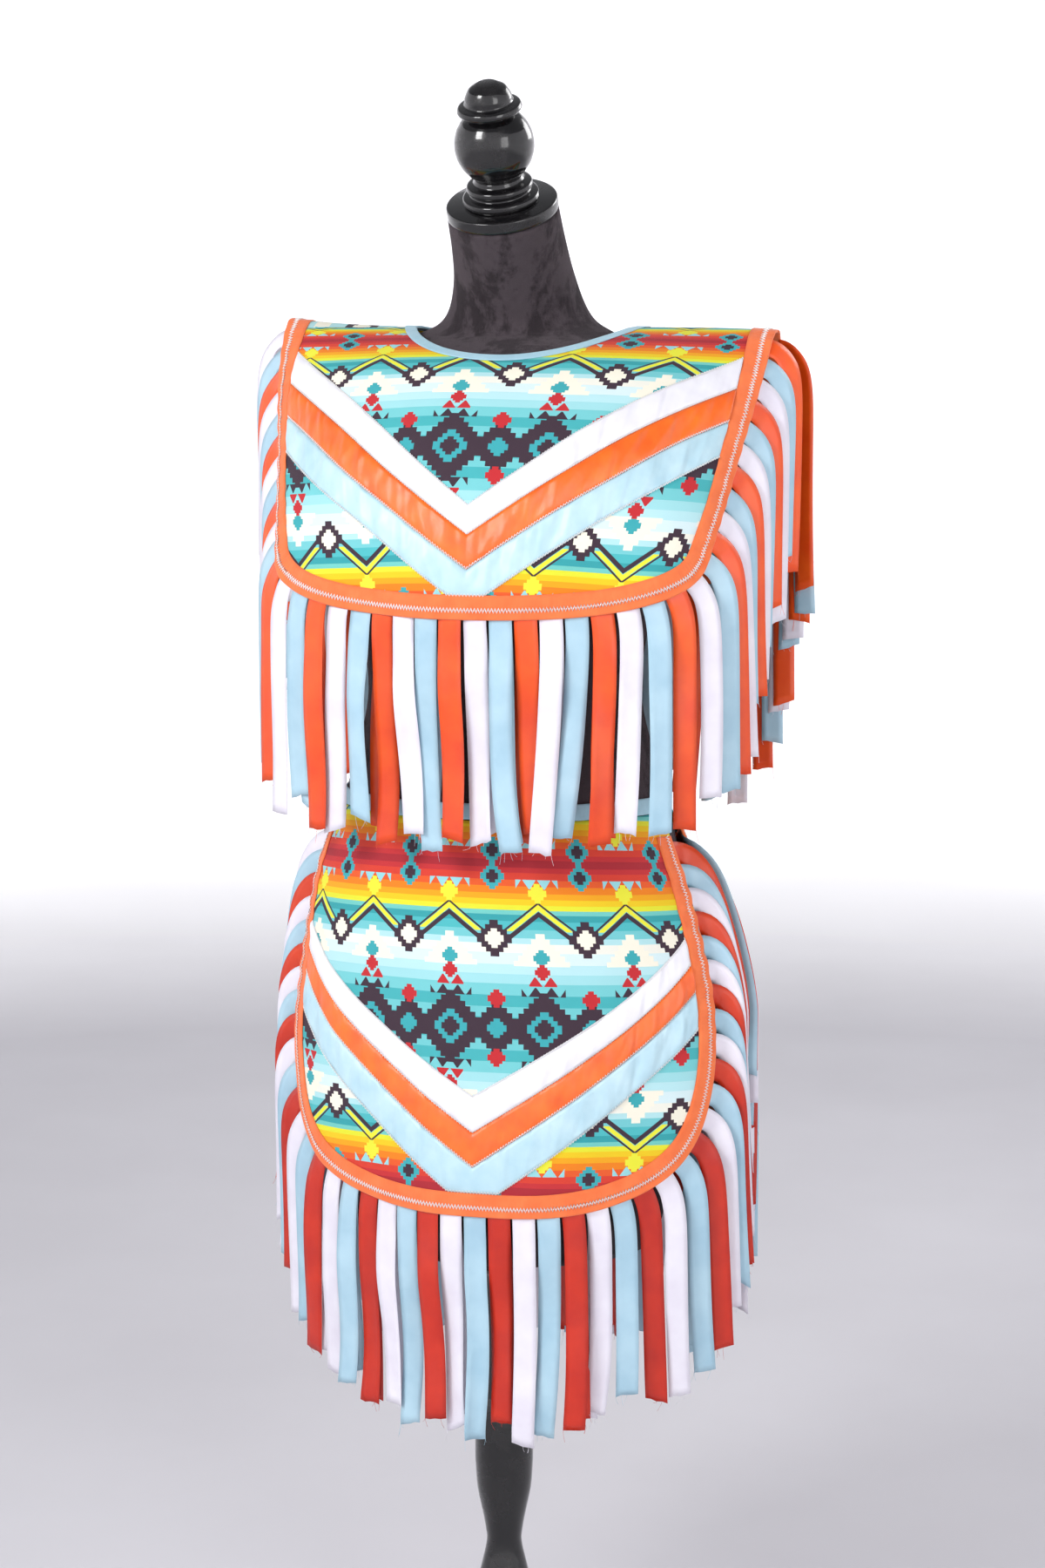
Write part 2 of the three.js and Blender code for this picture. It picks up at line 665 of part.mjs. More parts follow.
const CAPE_BACK = [
  { t: 0, ...RIDGE, midY: RIDGE.midY + RIDGE_GAP, edgeY: RIDGE.edgeY + RIDGE_GAP },
  { t: 0.03, half: 238, midY: 63, midZ: 1360, edgeY: 72, edgeZ: 1362, bow: 54 },
  { t: 0.1, half: 237, midY: 84, midZ: 1358.5, edgeY: 84, edgeZ: 1351, bow: 54 },
  { t: 0.2, half: 235, midY: 108, midZ: 1352, edgeY: 94, edgeZ: 1323, bow: 54 },
  { t: 0.3, half: 231, midY: 121, midZ: 1334, edgeY: 101, edgeZ: 1294, bow: 54 },
  { t: 0.45, half: 224, midY: 128, midZ: 1291, edgeY: 105, edgeZ: 1250, bow: 54 },
  { t: 0.6, half: 217, midY: 133, midZ: 1242, edgeY: 109, edgeZ: 1208, bow: 52 },
  { t: 0.8, half: 207, midY: 141, midZ: 1170, edgeY: 115, edgeZ: 1158, bow: 50 },
  { t: 1, half: 199, midY: 147, midZ: 1100, edgeY: 121, edgeZ: 1106, bow: 50 },
];
const NECK_U = 0.4;
const CAPE_COLUMNS = bothSides([0, ...[15, 32, 50, 70, 90].map(
  (a) => NECK_U * Math.sin(degrees(a))), 0.53, 0.67, 0.8, 0.9, 0.955, 0.987, 1]);
const CAPE_ROWS = [0, 0.045, 0.1, 0.155, 0.22, 0.32, 0.45, 0.61, 0.8, 1];
// Bands of the cape's chevron, from the top: t of the edges at the tip and at the ends.
const CAPE_BANDS = [
  { name: 'white', material: SATIN_WHITE, tipTop: 0.68, tipLow: 0.76, endTop: 0.17, endLow: 0.275,
    across: 2 },
  { name: 'orange', material: SATIN_ORANGE, tipTop: 0.763, tipLow: 0.856, endTop: 0.279,
    endLow: 0.38, across: 2 },
  { name: 'blue', material: SATIN_BLUE, tipTop: 0.859, tipLow: 0.97, endTop: 0.384,
    endLow: 0.49, across: 2 },
];

// The neckline as one loop of places, at the cloth's own points: the front curve to the
// wearer's right, then the back one.
function neckline(front, back) {
  const half = (panel) => {
    const raw = panel.columns.filter((u) => Math.abs(u) <= panel.neck.u).reverse()
      .map((u) => ({ u, t: panel.top(u) }));
    const places = panel.framed(raw);
    places.forEach((place) => { place.panel = panel; });
    places[0].inward = panel.slopes(places[0].u, 0).du.normalize();
    return places.slice(0, -1);
  };
  return [...half(front), ...half(back)];
}

function buildCape() {
  const shared = {
    rows: CAPE_ROWS, columns: CAPE_COLUMNS, sideEnd: 0.8, corner: 3,
    place: (t) => ({ shift: CAPE_SHIFT, droop: CAPE_DROOP * Math.max(0, 1 - 1.5 * t) ** 2 }),
  };
  const front = new Panel({
    ...shared, levels: CAPE_FRONT, facing: -1, neck: { u: NECK_U, dip: 0.26 },
  });
  const back = new Panel({
    ...shared, levels: CAPE_BACK, facing: 1, neck: { u: NECK_U, dip: 0.22 },
  });
  const seam = 0.006;
  [['cape_front', front], ['cape_back', back]].forEach(([name, panel]) => {
    add(name, panelCloth(panel), PRINT);
    add(`${name}_binding`, foldedBinding(panel, panel.corners(seam), BINDING_WIDTH), ORANGE_BIAS);
    buildChevrons(name, panel, CAPE_BANDS, 9);
    add(`${name}_fringe`, fringe(panel, 0.08, CAPE_SIDES), SATIN_ORANGE);
  });
  add('cape_neck_binding', foldedBinding(
    front, neckline(front, back), NECK_BINDING_WIDTH, true), BLUE_BIAS);
}

// ---------------------------------------------------------------- apron

const WAIST_BOW = 81;          // degrees round the torso that an apron panel reaches each side

// First level of an apron panel: on the torso's own section, just outside it.
function waistLevel(facing) {
  const { half, centre, depth } = torsoSection(WAIST_Z);
  const out = SEAM_GAP + 1.1;
  const bow = WAIST_BOW;
  return {
    t: 0, half: (half + out) * Math.sin(degrees(bow)), midY: centre + facing * (depth + out),
    midZ: WAIST_Z, edgeY: centre + facing * (depth + out) * Math.cos(degrees(bow)),
    edgeZ: WAIST_Z, bow,
  };
}

const apronLevels = (facing, rows) => [waistLevel(facing), ...rows.map((row) => {
  const z = WAIST_Z - APRON_DROP * row.t;
  return { ...row, midZ: z, edgeZ: z };
})];
const APRON_FRONT = [
  { t: 0.08, half: 168, midY: -114, edgeY: -17, bow: 76 },
  { t: 0.18, half: 181, midY: -121, edgeY: -22, bow: 72 },
  { t: 0.36, half: 196, midY: -130, edgeY: -29, bow: 67 },
  { t: 0.54, half: 205, midY: -134, edgeY: -34, bow: 64 },
  { t: 0.76, half: 206, midY: -137, edgeY: -40, bow: 62 },
  { t: 1, half: 205, midY: -140, edgeY: -44, bow: 60 },
];
const APRON_BACK = [
  { t: 0.08, half: 169, midY: 137, edgeY: 34, bow: 76 },
  { t: 0.18, half: 181, midY: 150, edgeY: 40, bow: 72 },
  { t: 0.36, half: 196, midY: 161, edgeY: 48, bow: 67 },
  { t: 0.54, half: 205, midY: 165, edgeY: 54, bow: 64 },
  { t: 0.76, half: 206, midY: 167, edgeY: 58, bow: 62 },
  { t: 1, half: 205, midY: 169, edgeY: 62, bow: 60 },
];
// The first columns stand over the torso's own corners, 15 degrees apart.
const APRON_COLUMNS = bothSides(
  [...[0, 1, 2, 3, 4, 5].map((k) => (k * 360) / TORSO_SIDES / WAIST_BOW), 0.96, 0.988, 1]);
const APRON_ROWS = [0, 0.08, 0.18, 0.32, 0.48, 0.65, 0.82, 1];
const APRON_BANDS = [
  { name: 'white', material: SATIN_WHITE, tipTop: 0.69, tipLow: 0.785, endTop: 0.31,
    endLow: 0.376, across: 1 },
  { name: 'orange', material: SATIN_ORANGE, tipTop: 0.788, tipLow: 0.875, endTop: 0.379,
    endLow: 0.445, across: 1 },
  { name: 'blue', material: SATIN_BLUE, tipTop: 0.878, tipLow: 0.99, endTop: 0.448,
    endLow: 0.54, across: 1 },
];

// A closed band round the torso, just clear of it.
function buildWaistband() {
  const bottom = WAIST_Z + 2 * SEAM_GAP;
  const grid = (out) => {
    const top = torsoRing(WAISTBAND_TOP, -out);
    return torsoRing(bottom, -out).map((low, j) => [low, top[j]]);
  };
  add('apron_waistband', wall(grid(SEAM_GAP + 2 * TAPE), grid(SEAM_GAP), { closed: true }),
    BLUE_BIAS);
}

function buildApron() {
  const shared = {
    rows: APRON_ROWS, columns: APRON_COLUMNS, sideEnd: 0.52, corner: 2.9,
    place: (t) => ({ shift: APRON_SHIFT * THREE.MathUtils.smoothstep(t, 0.04, 0.5), droop: 0 }),
  };
  const front = new Panel({ ...shared, levels: apronLevels(-1, APRON_FRONT), facing: -1 });
  const back = new Panel({ ...shared, levels: apronLevels(1, APRON_BACK), facing: 1 });
  [['apron_front', front], ['apron_back', back]].forEach(([name, panel]) => {
    add(name, panelCloth(panel), PRINT);
    add(`${name}_binding`, foldedBinding(panel, panel.corners(0.06), BINDING_WIDTH), ORANGE_BIAS);
    buildChevrons(name, panel, APRON_BANDS, 8);
    add(`${name}_fringe`, fringe(panel, 0.07, APRON_SIDES), SATIN_ORANGE);
  });
  buildWaistband();
}

buildForm();
buildCape();
buildApron();

export default model;
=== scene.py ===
"""A ribbon-fringed shoulder cape and apron on a velvet dress form.

The model's frame is loaded first, and each cloth piece is a surface worked out from the same
tables as its solid. Sizes are in millimetres until a mesh is made, and metres in the meshes.
"""
import json
import math

import bmesh
import bpy
import numpy as np
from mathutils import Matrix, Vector


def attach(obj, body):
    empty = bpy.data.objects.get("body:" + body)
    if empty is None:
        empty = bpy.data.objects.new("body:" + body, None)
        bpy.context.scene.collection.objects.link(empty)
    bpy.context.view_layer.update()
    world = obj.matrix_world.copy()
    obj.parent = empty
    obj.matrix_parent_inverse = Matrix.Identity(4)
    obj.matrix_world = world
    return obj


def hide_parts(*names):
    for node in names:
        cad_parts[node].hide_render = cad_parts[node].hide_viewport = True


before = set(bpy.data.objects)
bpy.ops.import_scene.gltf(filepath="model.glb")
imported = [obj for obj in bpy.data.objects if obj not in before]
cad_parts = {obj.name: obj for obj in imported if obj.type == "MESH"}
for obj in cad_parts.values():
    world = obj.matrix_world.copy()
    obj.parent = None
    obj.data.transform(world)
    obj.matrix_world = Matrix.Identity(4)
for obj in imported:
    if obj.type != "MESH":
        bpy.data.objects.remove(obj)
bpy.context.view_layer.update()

# ---------------------------------------------------------------- sizes

CLOTH = 0.9            # thickness of the printed cotton, with its hem allowance pressed flat
BINDING_WIDTH = 21.0
NECK_BINDING_WIDTH = 10.0
RIBBON_PITCH = 23.2
RIBBON_WIDTH = 21.0
RIBBON_LENGTH = 205.0
CAPE_SHIFT = 9.0
CAPE_DROOP = 6.0
APRON_SHIFT = 8.0
WAIST_Z = 911.0
WAISTBAND = 15.0
APRON_DROP = 365.0
WAIST_BOW = 81.0
CAP_Z = 1466.0
NECK_TILT = 27.0

# The torso's elliptic sections: z, half width, then where the front and back lie along y.
TORSO = dict(
    z=[486, 560, 660, 760, 860, 925, 1014, 1080, 1150, 1205, 1265, 1300, 1328, 1344],
    half=[148, 164, 175, 177, 167, 154, 132, 138, 151, 159, 164, 166, 156, 128],
    front=[-112, -120, -124, -122, -113, -105, -95, -101, -122, -138, -117, -87, -56, -26],
    back=[126, 140, 152, 153, 138, 120, 101, 100, 104, 107, 109, 110, 108, 104],
)
# The neck's sections: centre, tilt forward in degrees, half width, half depth.
NECK = dict(
    y=[48, 51, 49, 37, 19, 0],
    z=[1355, 1365, 1381, 1409, 1438, 1466],
    tilt=[3, 8, 14, 21, 25, 27],
    half=[95, 76, 65, 57, 53.5, 52],
    depth=[53, 53, 51, 51, 51, 51],
)
CAPE_FRONT = dict(
    t=[0, 0.03, 0.09, 0.18, 0.3, 0.45, 0.6, 0.75, 0.9, 1],
    half=[238, 238, 237, 235, 230, 222, 215, 208, 202, 198],
    midY=[53, 43, 22, -22, -73, -117, -143, -153, -157, -158],
    midZ=[1360, 1360, 1358.5, 1349, 1325, 1280, 1230, 1180, 1132, 1102],
    edgeY=[64, 56, 41, 21, -2, -26, -50, -75, -98, -110],
    edgeZ=[1363, 1362, 1353, 1328, 1293, 1250, 1208, 1170, 1134, 1110],
    bow=[54, 54, 54, 54, 54, 54, 58, 55, 52, 50],
)
CAPE_BACK = dict(
    t=[0, 0.03, 0.1, 0.2, 0.3, 0.45, 0.6, 0.8, 1],
    half=[238, 238, 237, 235, 231, 224, 217, 207, 199],
    midY=[53.6, 63, 84, 108, 121, 128, 133, 141, 147],
    midZ=[1360, 1360, 1358.5, 1352, 1334, 1291, 1242, 1170, 1100],
    edgeY=[64.6, 72, 84, 94, 101, 105, 109, 115, 121],
    edgeZ=[1363, 1362, 1351, 1323, 1294, 1250, 1208, 1158, 1106],
    bow=[54, 54, 54, 54, 54, 54, 52, 50, 50],
)
APRON_FRONT = dict(
    t=[0.08, 0.18, 0.36, 0.54, 0.76, 1],
    half=[168, 181, 196, 205, 206, 205],
    midY=[-114, -121, -130, -134, -137, -140],
    edgeY=[-17, -22, -29, -34, -40, -44],
    bow=[76, 72, 67, 64, 62, 60],
)
APRON_BACK = dict(
    t=[0.08, 0.18, 0.36, 0.54, 0.76, 1],
    half=[169, 181, 196, 205, 206, 205],
    midY=[137, 150, 161, 165, 167, 169],
    edgeY=[34, 40, 48, 54, 58, 62],
    bow=[76, 72, 67, 64, 62, 60],
)
# Chevron bands: t of the upper and lower edge at the tip, then at the ends.
CAPE_BANDS = dict(white=(0.68, 0.76, 0.17, 0.275), orange=(0.7608, 0.856, 0.2762, 0.38),
                  light_blue=(0.8568, 0.97, 0.3812, 0.49))
APRON_BANDS = dict(white=(0.69, 0.785, 0.31, 0.376), orange=(0.7857, 0.875, 0.3768, 0.445),
                   light_blue=(0.8757, 0.99, 0.4458, 0.54))
# How the side ribbons hang: the length over which they turn down, the share by which they turn
# square to the front, then how far they step back to the body, how much of their drop they
# tuck in, and the share by which they go with the panel's edge.
CAPE_SIDES = dict(bend=20.0, turn=0.9, step=4.0, tuck=0.025, follow=0.0)
APRON_SIDES = dict(bend=20.0, turn=1.0, step=3.4, tuck=0.122, follow=1.0)

# The camera: degrees round from the front and over the frame's height, then metres.
VIEW = dict(turn=15, angle=28.6, away=2.9, height=1.35, aim=0.93, aside=0.018)


# ---------------------------------------------------------------- curves and vectors

def column(table, key, name, at):
    """Value of a column at places in the key column: cubic Hermite pieces whose slope at a row
    is the rise over the run between its two neighbours."""
    k = np.asarray(table[key], float)
    v = np.asarray(table[name], float)
    slope = np.empty_like(v)
    slope[1:-1] = (v[2:] - v[:-2]) / (k[2:] - k[:-2])
    slope[0] = (v[1] - v[0]) / (k[1] - k[0])
    slope[-1] = (v[-1] - v[-2]) / (k[-1] - k[-2])
    at = np.asarray(at, float)
    i = np.clip(np.searchsorted(k, at, side="left") - 1, 0, len(k) - 2)
    span = k[i + 1] - k[i]
    f = (at - k[i]) / span
    f2, f3 = f * f, f * f * f
    return (v[i] * (2 * f3 - 3 * f2 + 1) + v[i + 1] * (3 * f2 - 2 * f3)
            + span * (slope[i] * (f3 - 2 * f2 + f) + slope[i + 1] * (f3 - f2)))


def unit(v):
    return v / np.maximum(np.linalg.norm(v, axis=-1, keepdims=True), 1e-9)


def dot(a, b):
    return (a * b).sum(-1, keepdims=True)


def run_along(points):
    """Distance from the first point of a line of points (k, ..., 3), over its straight steps."""
    steps = np.linalg.norm(np.diff(points, axis=0), axis=-1)
    return np.concatenate([np.zeros_like(steps[:1]), np.cumsum(steps, 0)])


def smooth(x, a, b):
    """Rises from 0 at a to 1 at b as 3f^2 - 2f^3."""
    f = np.clip((x - a) / (b - a), 0, 1)
    return f * f * (3 - 2 * f)


def ripple(x, y, seed, count=7, finest=1.0, coarsest=4.0):
    """A gentle random relief from -1 to 1: a sum of plane sine waves, each with a direction,
    length and phase of its own, the longer ones the higher."""
    rng = np.random.default_rng(seed)
    total = np.zeros(np.broadcast(x, y).shape)
    weight = 0.0
    for length in np.geomspace(finest, coarsest, count):
        turn, phase = rng.uniform(0, 2 * math.pi, 2)
        high = length / coarsest
        total += high * np.sin(2 * math.pi * (x * math.cos(turn) + y * math.sin(turn)) / length
                               + phase)
        weight += high
    return total / weight * 1.6


# ---------------------------------------------------------------- meshes

def new_mesh(name, points, faces, material, uv=None):
    """points in mm; faces as an array of quads; uv in the order of the points."""
    mesh = bpy.data.meshes.new(name)
    points = np.asarray(points, np.float32).reshape(-1, 3) / 1000
    faces = np.asarray(faces, np.int32)
    corners = faces.shape[1]
    mesh.vertices.add(len(points))
    mesh.vertices.foreach_set("co", points.ravel())
    mesh.loops.add(faces.size)
    mesh.loops.foreach_set("vertex_index", faces.ravel())
    mesh.polygons.add(len(faces))
    mesh.polygons.foreach_set("loop_start", np.arange(0, faces.size, corners, dtype=np.int32))
    mesh.update(calc_edges=True)
    mesh.polygons.foreach_set("use_smooth", np.full(len(faces), True))
    if uv is not None:
        layer = mesh.uv_layers.new(name="cut")
        uv = np.asarray(uv, np.float32).reshape(-1, 2)
        layer.data.foreach_set("uv", uv[faces.ravel()].ravel())
    mesh.validate()
    mesh.materials.append(material)
    piece = bpy.data.objects.new(name, mesh)
    bpy.context.scene.collection.objects.link(piece)
    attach(piece, "root")
    return piece


def grid_faces(rows, columns, closed_rows=False, closed_columns=False, start=0):
    """Quads between the points of a rows x columns grid, which may close on itself."""
    i = np.arange(rows if closed_rows else rows - 1)
    j = np.arange(columns if closed_columns else columns - 1)
    i, j = np.meshgrid(i, j, indexing="ij")
    i2, j2 = (i + 1) % rows, (j + 1) % columns
    quads = np.stack([i * columns + j, i2 * columns + j, i2 * columns + j2, i * columns + j2], -1)
    return quads.reshape(-1, 4) + start


def rim_faces(rows, columns, other):
    """Quads round the four sides of a rows x columns grid, over to the same grid at other."""
    edge = np.concatenate([
        np.arange(columns), np.arange(1, rows) * columns + columns - 1,
        (rows - 1) * columns + np.arange(columns - 2, -1, -1),
        np.arange(rows - 2, 0, -1) * columns])
    after = np.roll(edge, -1)
    return np.stack([edge, after, after + other, edge + other], -1)


def shell(name, outer, inner, material, uv=None):
    """A closed cloth wall between an outer and an inner grid of points: both faces and the
    four rims. Seen from outside, rows run down and columns to the right."""
    rows, columns = outer.shape[:2]
    count = rows * columns
    front = grid_faces(rows, columns)
    back = grid_faces(rows, columns, start=count)[:, ::-1]
    rim = rim_faces(rows, columns, count)
    points = np.concatenate([outer.reshape(-1, 3), inner.reshape(-1, 3)])
    if uv is not None:
        uv = np.concatenate([uv.reshape(-1, 2)] * 2)
    return new_mesh(name, points, np.concatenate([front, back, rim]), material, uv)


def sleeve(name, rings, material, uv=None, closed=False):
    """A closed profile carried along a path: rings[k] is the profile at step k. Open ends get
    a fan of quads to the profile's centre."""
    steps, around = rings.shape[:2]
    faces = grid_faces(steps, around, closed_rows=closed, closed_columns=True)
    points = rings.reshape(-1, 3)
    if not closed:
        half = around // 2
        k = np.arange(half - 1)
        cap = np.stack([k, k + 1, around - 2 - k, around - 1 - k], -1)
        last = (steps - 1) * around
        faces = np.concatenate([faces, cap, (cap + last)[:, ::-1]])
    return new_mesh(name, points, faces, material, uv)


def outward(piece):
    """Recalculates the normals of a closed mesh so that its faces point outwards."""
    mesh = bmesh.new()
    mesh.from_mesh(piece.data)
    bmesh.ops.recalc_face_normals(mesh, faces=mesh.faces)
    mesh.to_mesh(piece.data)
    mesh.free()
    return piece


def thread(paths, radius):
    """Points and quads of thin tubes along polylines (n, k, 3): at each point a ring of four
    points, square to the path's direction there, and a quad over either end."""
    sides = 4
    n, k = paths.shape[:2]
    along = unit(np.gradient(paths, axis=1))
    up = np.broadcast_to(np.array([0.31, 0.17, 0.93]), along.shape)
    one = unit(np.cross(along, up))
    two = np.cross(along, one)
    a = 2 * math.pi * np.arange(sides) / sides
    rings = (paths[:, :, None] + radius * (np.cos(a)[:, None] * one[:, :, None]
                                           + np.sin(a)[:, None] * two[:, :, None]))
    one_tube = np.concatenate([grid_faces(k, sides, closed_columns=True)[:, ::-1],
                               [[3, 2, 1, 0]], [np.arange(sides) + (k - 1) * sides]])
    faces = one_tube[None] + (np.arange(n) * k * sides)[:, None, None]
    return rings.reshape(-1, 3), faces.reshape(-1, 4)


# ---------------------------------------------------------------- finishes

def colour(red, green, blue):
    """A colour given as screen values from 0 to 255, made linear."""
    c = np.array([red, green, blue]) / 255
    c = np.where(c <= 0.04045, c / 12.92, ((c + 0.055) / 1.055) ** 2.4)
    return (*map(float, c), 1.0)


class Value:
    """A socket that takes part in Python arithmetic; each operation adds its Math node."""

    def __init__(self, finish, socket):
        self.finish = finish
        self.socket = socket

    def math(self, operation, *others):
        inputs = {0: self}
        inputs.update({k + 1: other for k, other in enumerate(others)})
        return self.finish.node("ShaderNodeMath", dict(operation=operation), inputs)

    def __add__(self, other):
        return self.math("ADD", other)

    __radd__ = __add__

    def __sub__(self, other):
        return self.math("SUBTRACT", other)

    def __rsub__(self, other):
        return self.finish.number(other).math("SUBTRACT", self)

    def __mul__(self, other):
        return self.math("MULTIPLY", other)

    __rmul__ = __mul__

    def __truediv__(self, other):
        return self.math("DIVIDE", other)

    def __gt__(self, other):
        return self.math("GREATER_THAN", other)

    def __lt__(self, other):
        return self.math("LESS_THAN", other)

    def __abs__(self):
        return self.math("ABSOLUTE")

    def floor(self):
        return self.math("FLOOR")

    def wave(self, period):
        """Triangle wave from 0 to period / 2 and back."""
        return self.math("PINGPONG", period / 2)

    def sine(self, period):
        return (self * (2 * math.pi / period)).math("SINE")

    def ramp(self, low, high, start=0.0, end=1.0):
        """From start at low to end at high, and level beyond them."""
        return self.finish.node("ShaderNodeMapRange", {}, {0: self, 1: low, 2: high,
                                                           3: start, 4: end})

    def between(self, low, high, soft):
        """1 between low and high, falling to 0 over soft on either side."""
        return self.ramp(low - soft, low) * self.ramp(high, high + soft, 1.0, 0.0)


class Finish:
    """One material. Its constants sit on the shader's own sockets."""

    def __init__(self, name, **constants):
        self.material = bpy.data.materials.new(name)
        self.material.use_nodes = True
        self.tree = self.material.node_tree
        self.shader = self.tree.nodes["Principled BSDF"]
        for socket, value in constants.items():
            self.shader.inputs[socket.replace("_", " ")].default_value = value

    def node(self, kind, settings, inputs=None, output=0):
        """Adds a node: its settings first, a ramp's stops among them, then its sockets."""
        node = self.tree.nodes.new(kind)
        for key, value in settings.items():
            if key == "stops":
                ramp = node.color_ramp
                ramp.interpolation = "CONSTANT"
                while len(ramp.elements) < len(value):
                    ramp.elements.new(1.0)
                for element, (place, shade) in zip(ramp.elements, value):
                    element.position = place
                    element.color = shade
            else:
                setattr(node, key, value)
        for key, value in (inputs or {}).items():
            if isinstance(value, Value):
                self.tree.links.new(value.socket, node.inputs[key])
            else:
                node.inputs[key].default_value = value
        return Value(self, node.outputs[output])

    def number(self, value):
        return self.node("ShaderNodeMath", dict(operation="ADD"), {0: value, 1: 0.0})

    def mix(self, below, above, share):
        return self.node("ShaderNodeMix", dict(data_type="RGBA"), {0: share, 6: below, 7: above},
                         output=2)

    def cut(self):
        """The piece's own flat coordinates: across and along, in metres."""
        uv = self.flat()
        return (self.node("ShaderNodeSeparateXYZ", {}, {0: uv}, 0),
                self.node("ShaderNodeSeparateXYZ", {}, {0: uv}, 1))

    def flat(self):
        return self.node("ShaderNodeUVMap", dict(uv_map="cut"))

    def place(self):
        return self.node("ShaderNodeTexCoord", {}, output=3)

    def noise(self, vector, scale, detail=3.0, rough=0.5):
        return self.node("ShaderNodeTexNoise", {}, {"Vector": vector, "Scale": scale,
                                                    "Detail": detail, "Roughness": rough})

    def stretched(self, vector, x, y, z=1.0):
        return self.node("ShaderNodeMapping", {}, {"Vector": vector, "Scale": (x, y, z)})

    def bump(self, height, distance, strength=1.0, over=None):
        inputs = {"Height": height, "Distance": distance, "Strength": strength}
        if over is not None:
            inputs["Normal"] = over
        return self.node("ShaderNodeBump", {}, inputs)

    def feed(self, **links):
        for socket, value in links.items():
            self.tree.links.new(value.socket, self.shader.inputs[socket.replace("_", " ")])
        return self.material


def velvet():
    """Black velvet: the nap is brushed in cloudy patches, paler where it lies down."""
    f = Finish("black_velvet", Roughness=0.95, Sheen_Weight=0.14, Sheen_Roughness=0.4,
               Sheen_Tint=colour(200, 188, 194), Specular_IOR_Level=0.15)
    p = f.place()
    cloud = f.noise(f.stretched(p, 1.0, 1.0, 0.55), 26.0, 6.0, 0.68)
    fine = f.noise(f.stretched(p, 1.0, 1.0, 0.3), 190.0, 4.0, 0.7)
    lying = cloud.between(0.53, 2.0, 0.09)
    base = f.mix(colour(35, 30, 33), colour(90, 81, 86), lying * 0.45 + fine * 0.32)
    pile = f.noise(p, 1500.0, 2.0)
    return f.feed(Base_Color=base, Normal=f.bump(pile + lying * 0.8, 0.0016, 0.7))


def black_lacquer():
    """Gloss black paint on turned wood, with a faint orange peel and worn, duller patches."""
    f = Finish("black_lacquer", Specular_IOR_Level=0.35, Coat_Weight=0.55, Coat_Roughness=0.05)
    p = f.place()
    peel = f.noise(p, 90.0, 2.0)
    worn = f.noise(p, 22.0, 6.0, 0.7)
    dull = worn.between(0.56, 2.0, 0.08)
    base = f.mix(colour(12, 11, 13), colour(26, 24, 25), dull * 0.6)
    return f.feed(Base_Color=base, Roughness=dull * 0.14 + 0.15,
                  Normal=f.bump(peel, 0.0006, 0.35))


def weave_bump(f, x, y, pitch=0.00055, over=None):
    """Plain weave: crossed threads, and a slow slub over them."""
    threads = x.sine(pitch) * y.sine(pitch)
    slub = f.noise(f.place(), 420.0, 2.0)
    return f.bump(threads * 0.4 + slub, 0.00035, 0.35, over)


BANDS = [  # from the middle of the dark row to the middle of the red one, as shares of it
    (0.00, (78, 182, 186)), (0.07, (112, 199, 203)), (0.13, (70, 176, 181)),
    (0.20, (118, 203, 207)), (0.27, (160, 219, 224)), (0.33, (184, 228, 233)),
    (0.39, (214, 236, 239)), (0.46, (238, 238, 226)), (0.515, (178, 224, 228)),
    (0.55, (116, 200, 205)), (0.60, (78, 184, 189)), (0.65, (54, 160, 166)),
    (0.69, (112, 199, 190)), (0.715, (226, 226, 52)), (0.75, (236, 200, 30)),
    (0.785, (238, 165, 26)), (0.82, (235, 130, 28)), (0.86, (228, 92, 42)),
    (0.90, (214, 64, 48)), (0.945, (196, 50, 54)), (0.975, (170, 42, 52)),
]
REPEAT = 0.304         # from one dark row to the next
ROW = 0.088            # from one motif to the next in a row


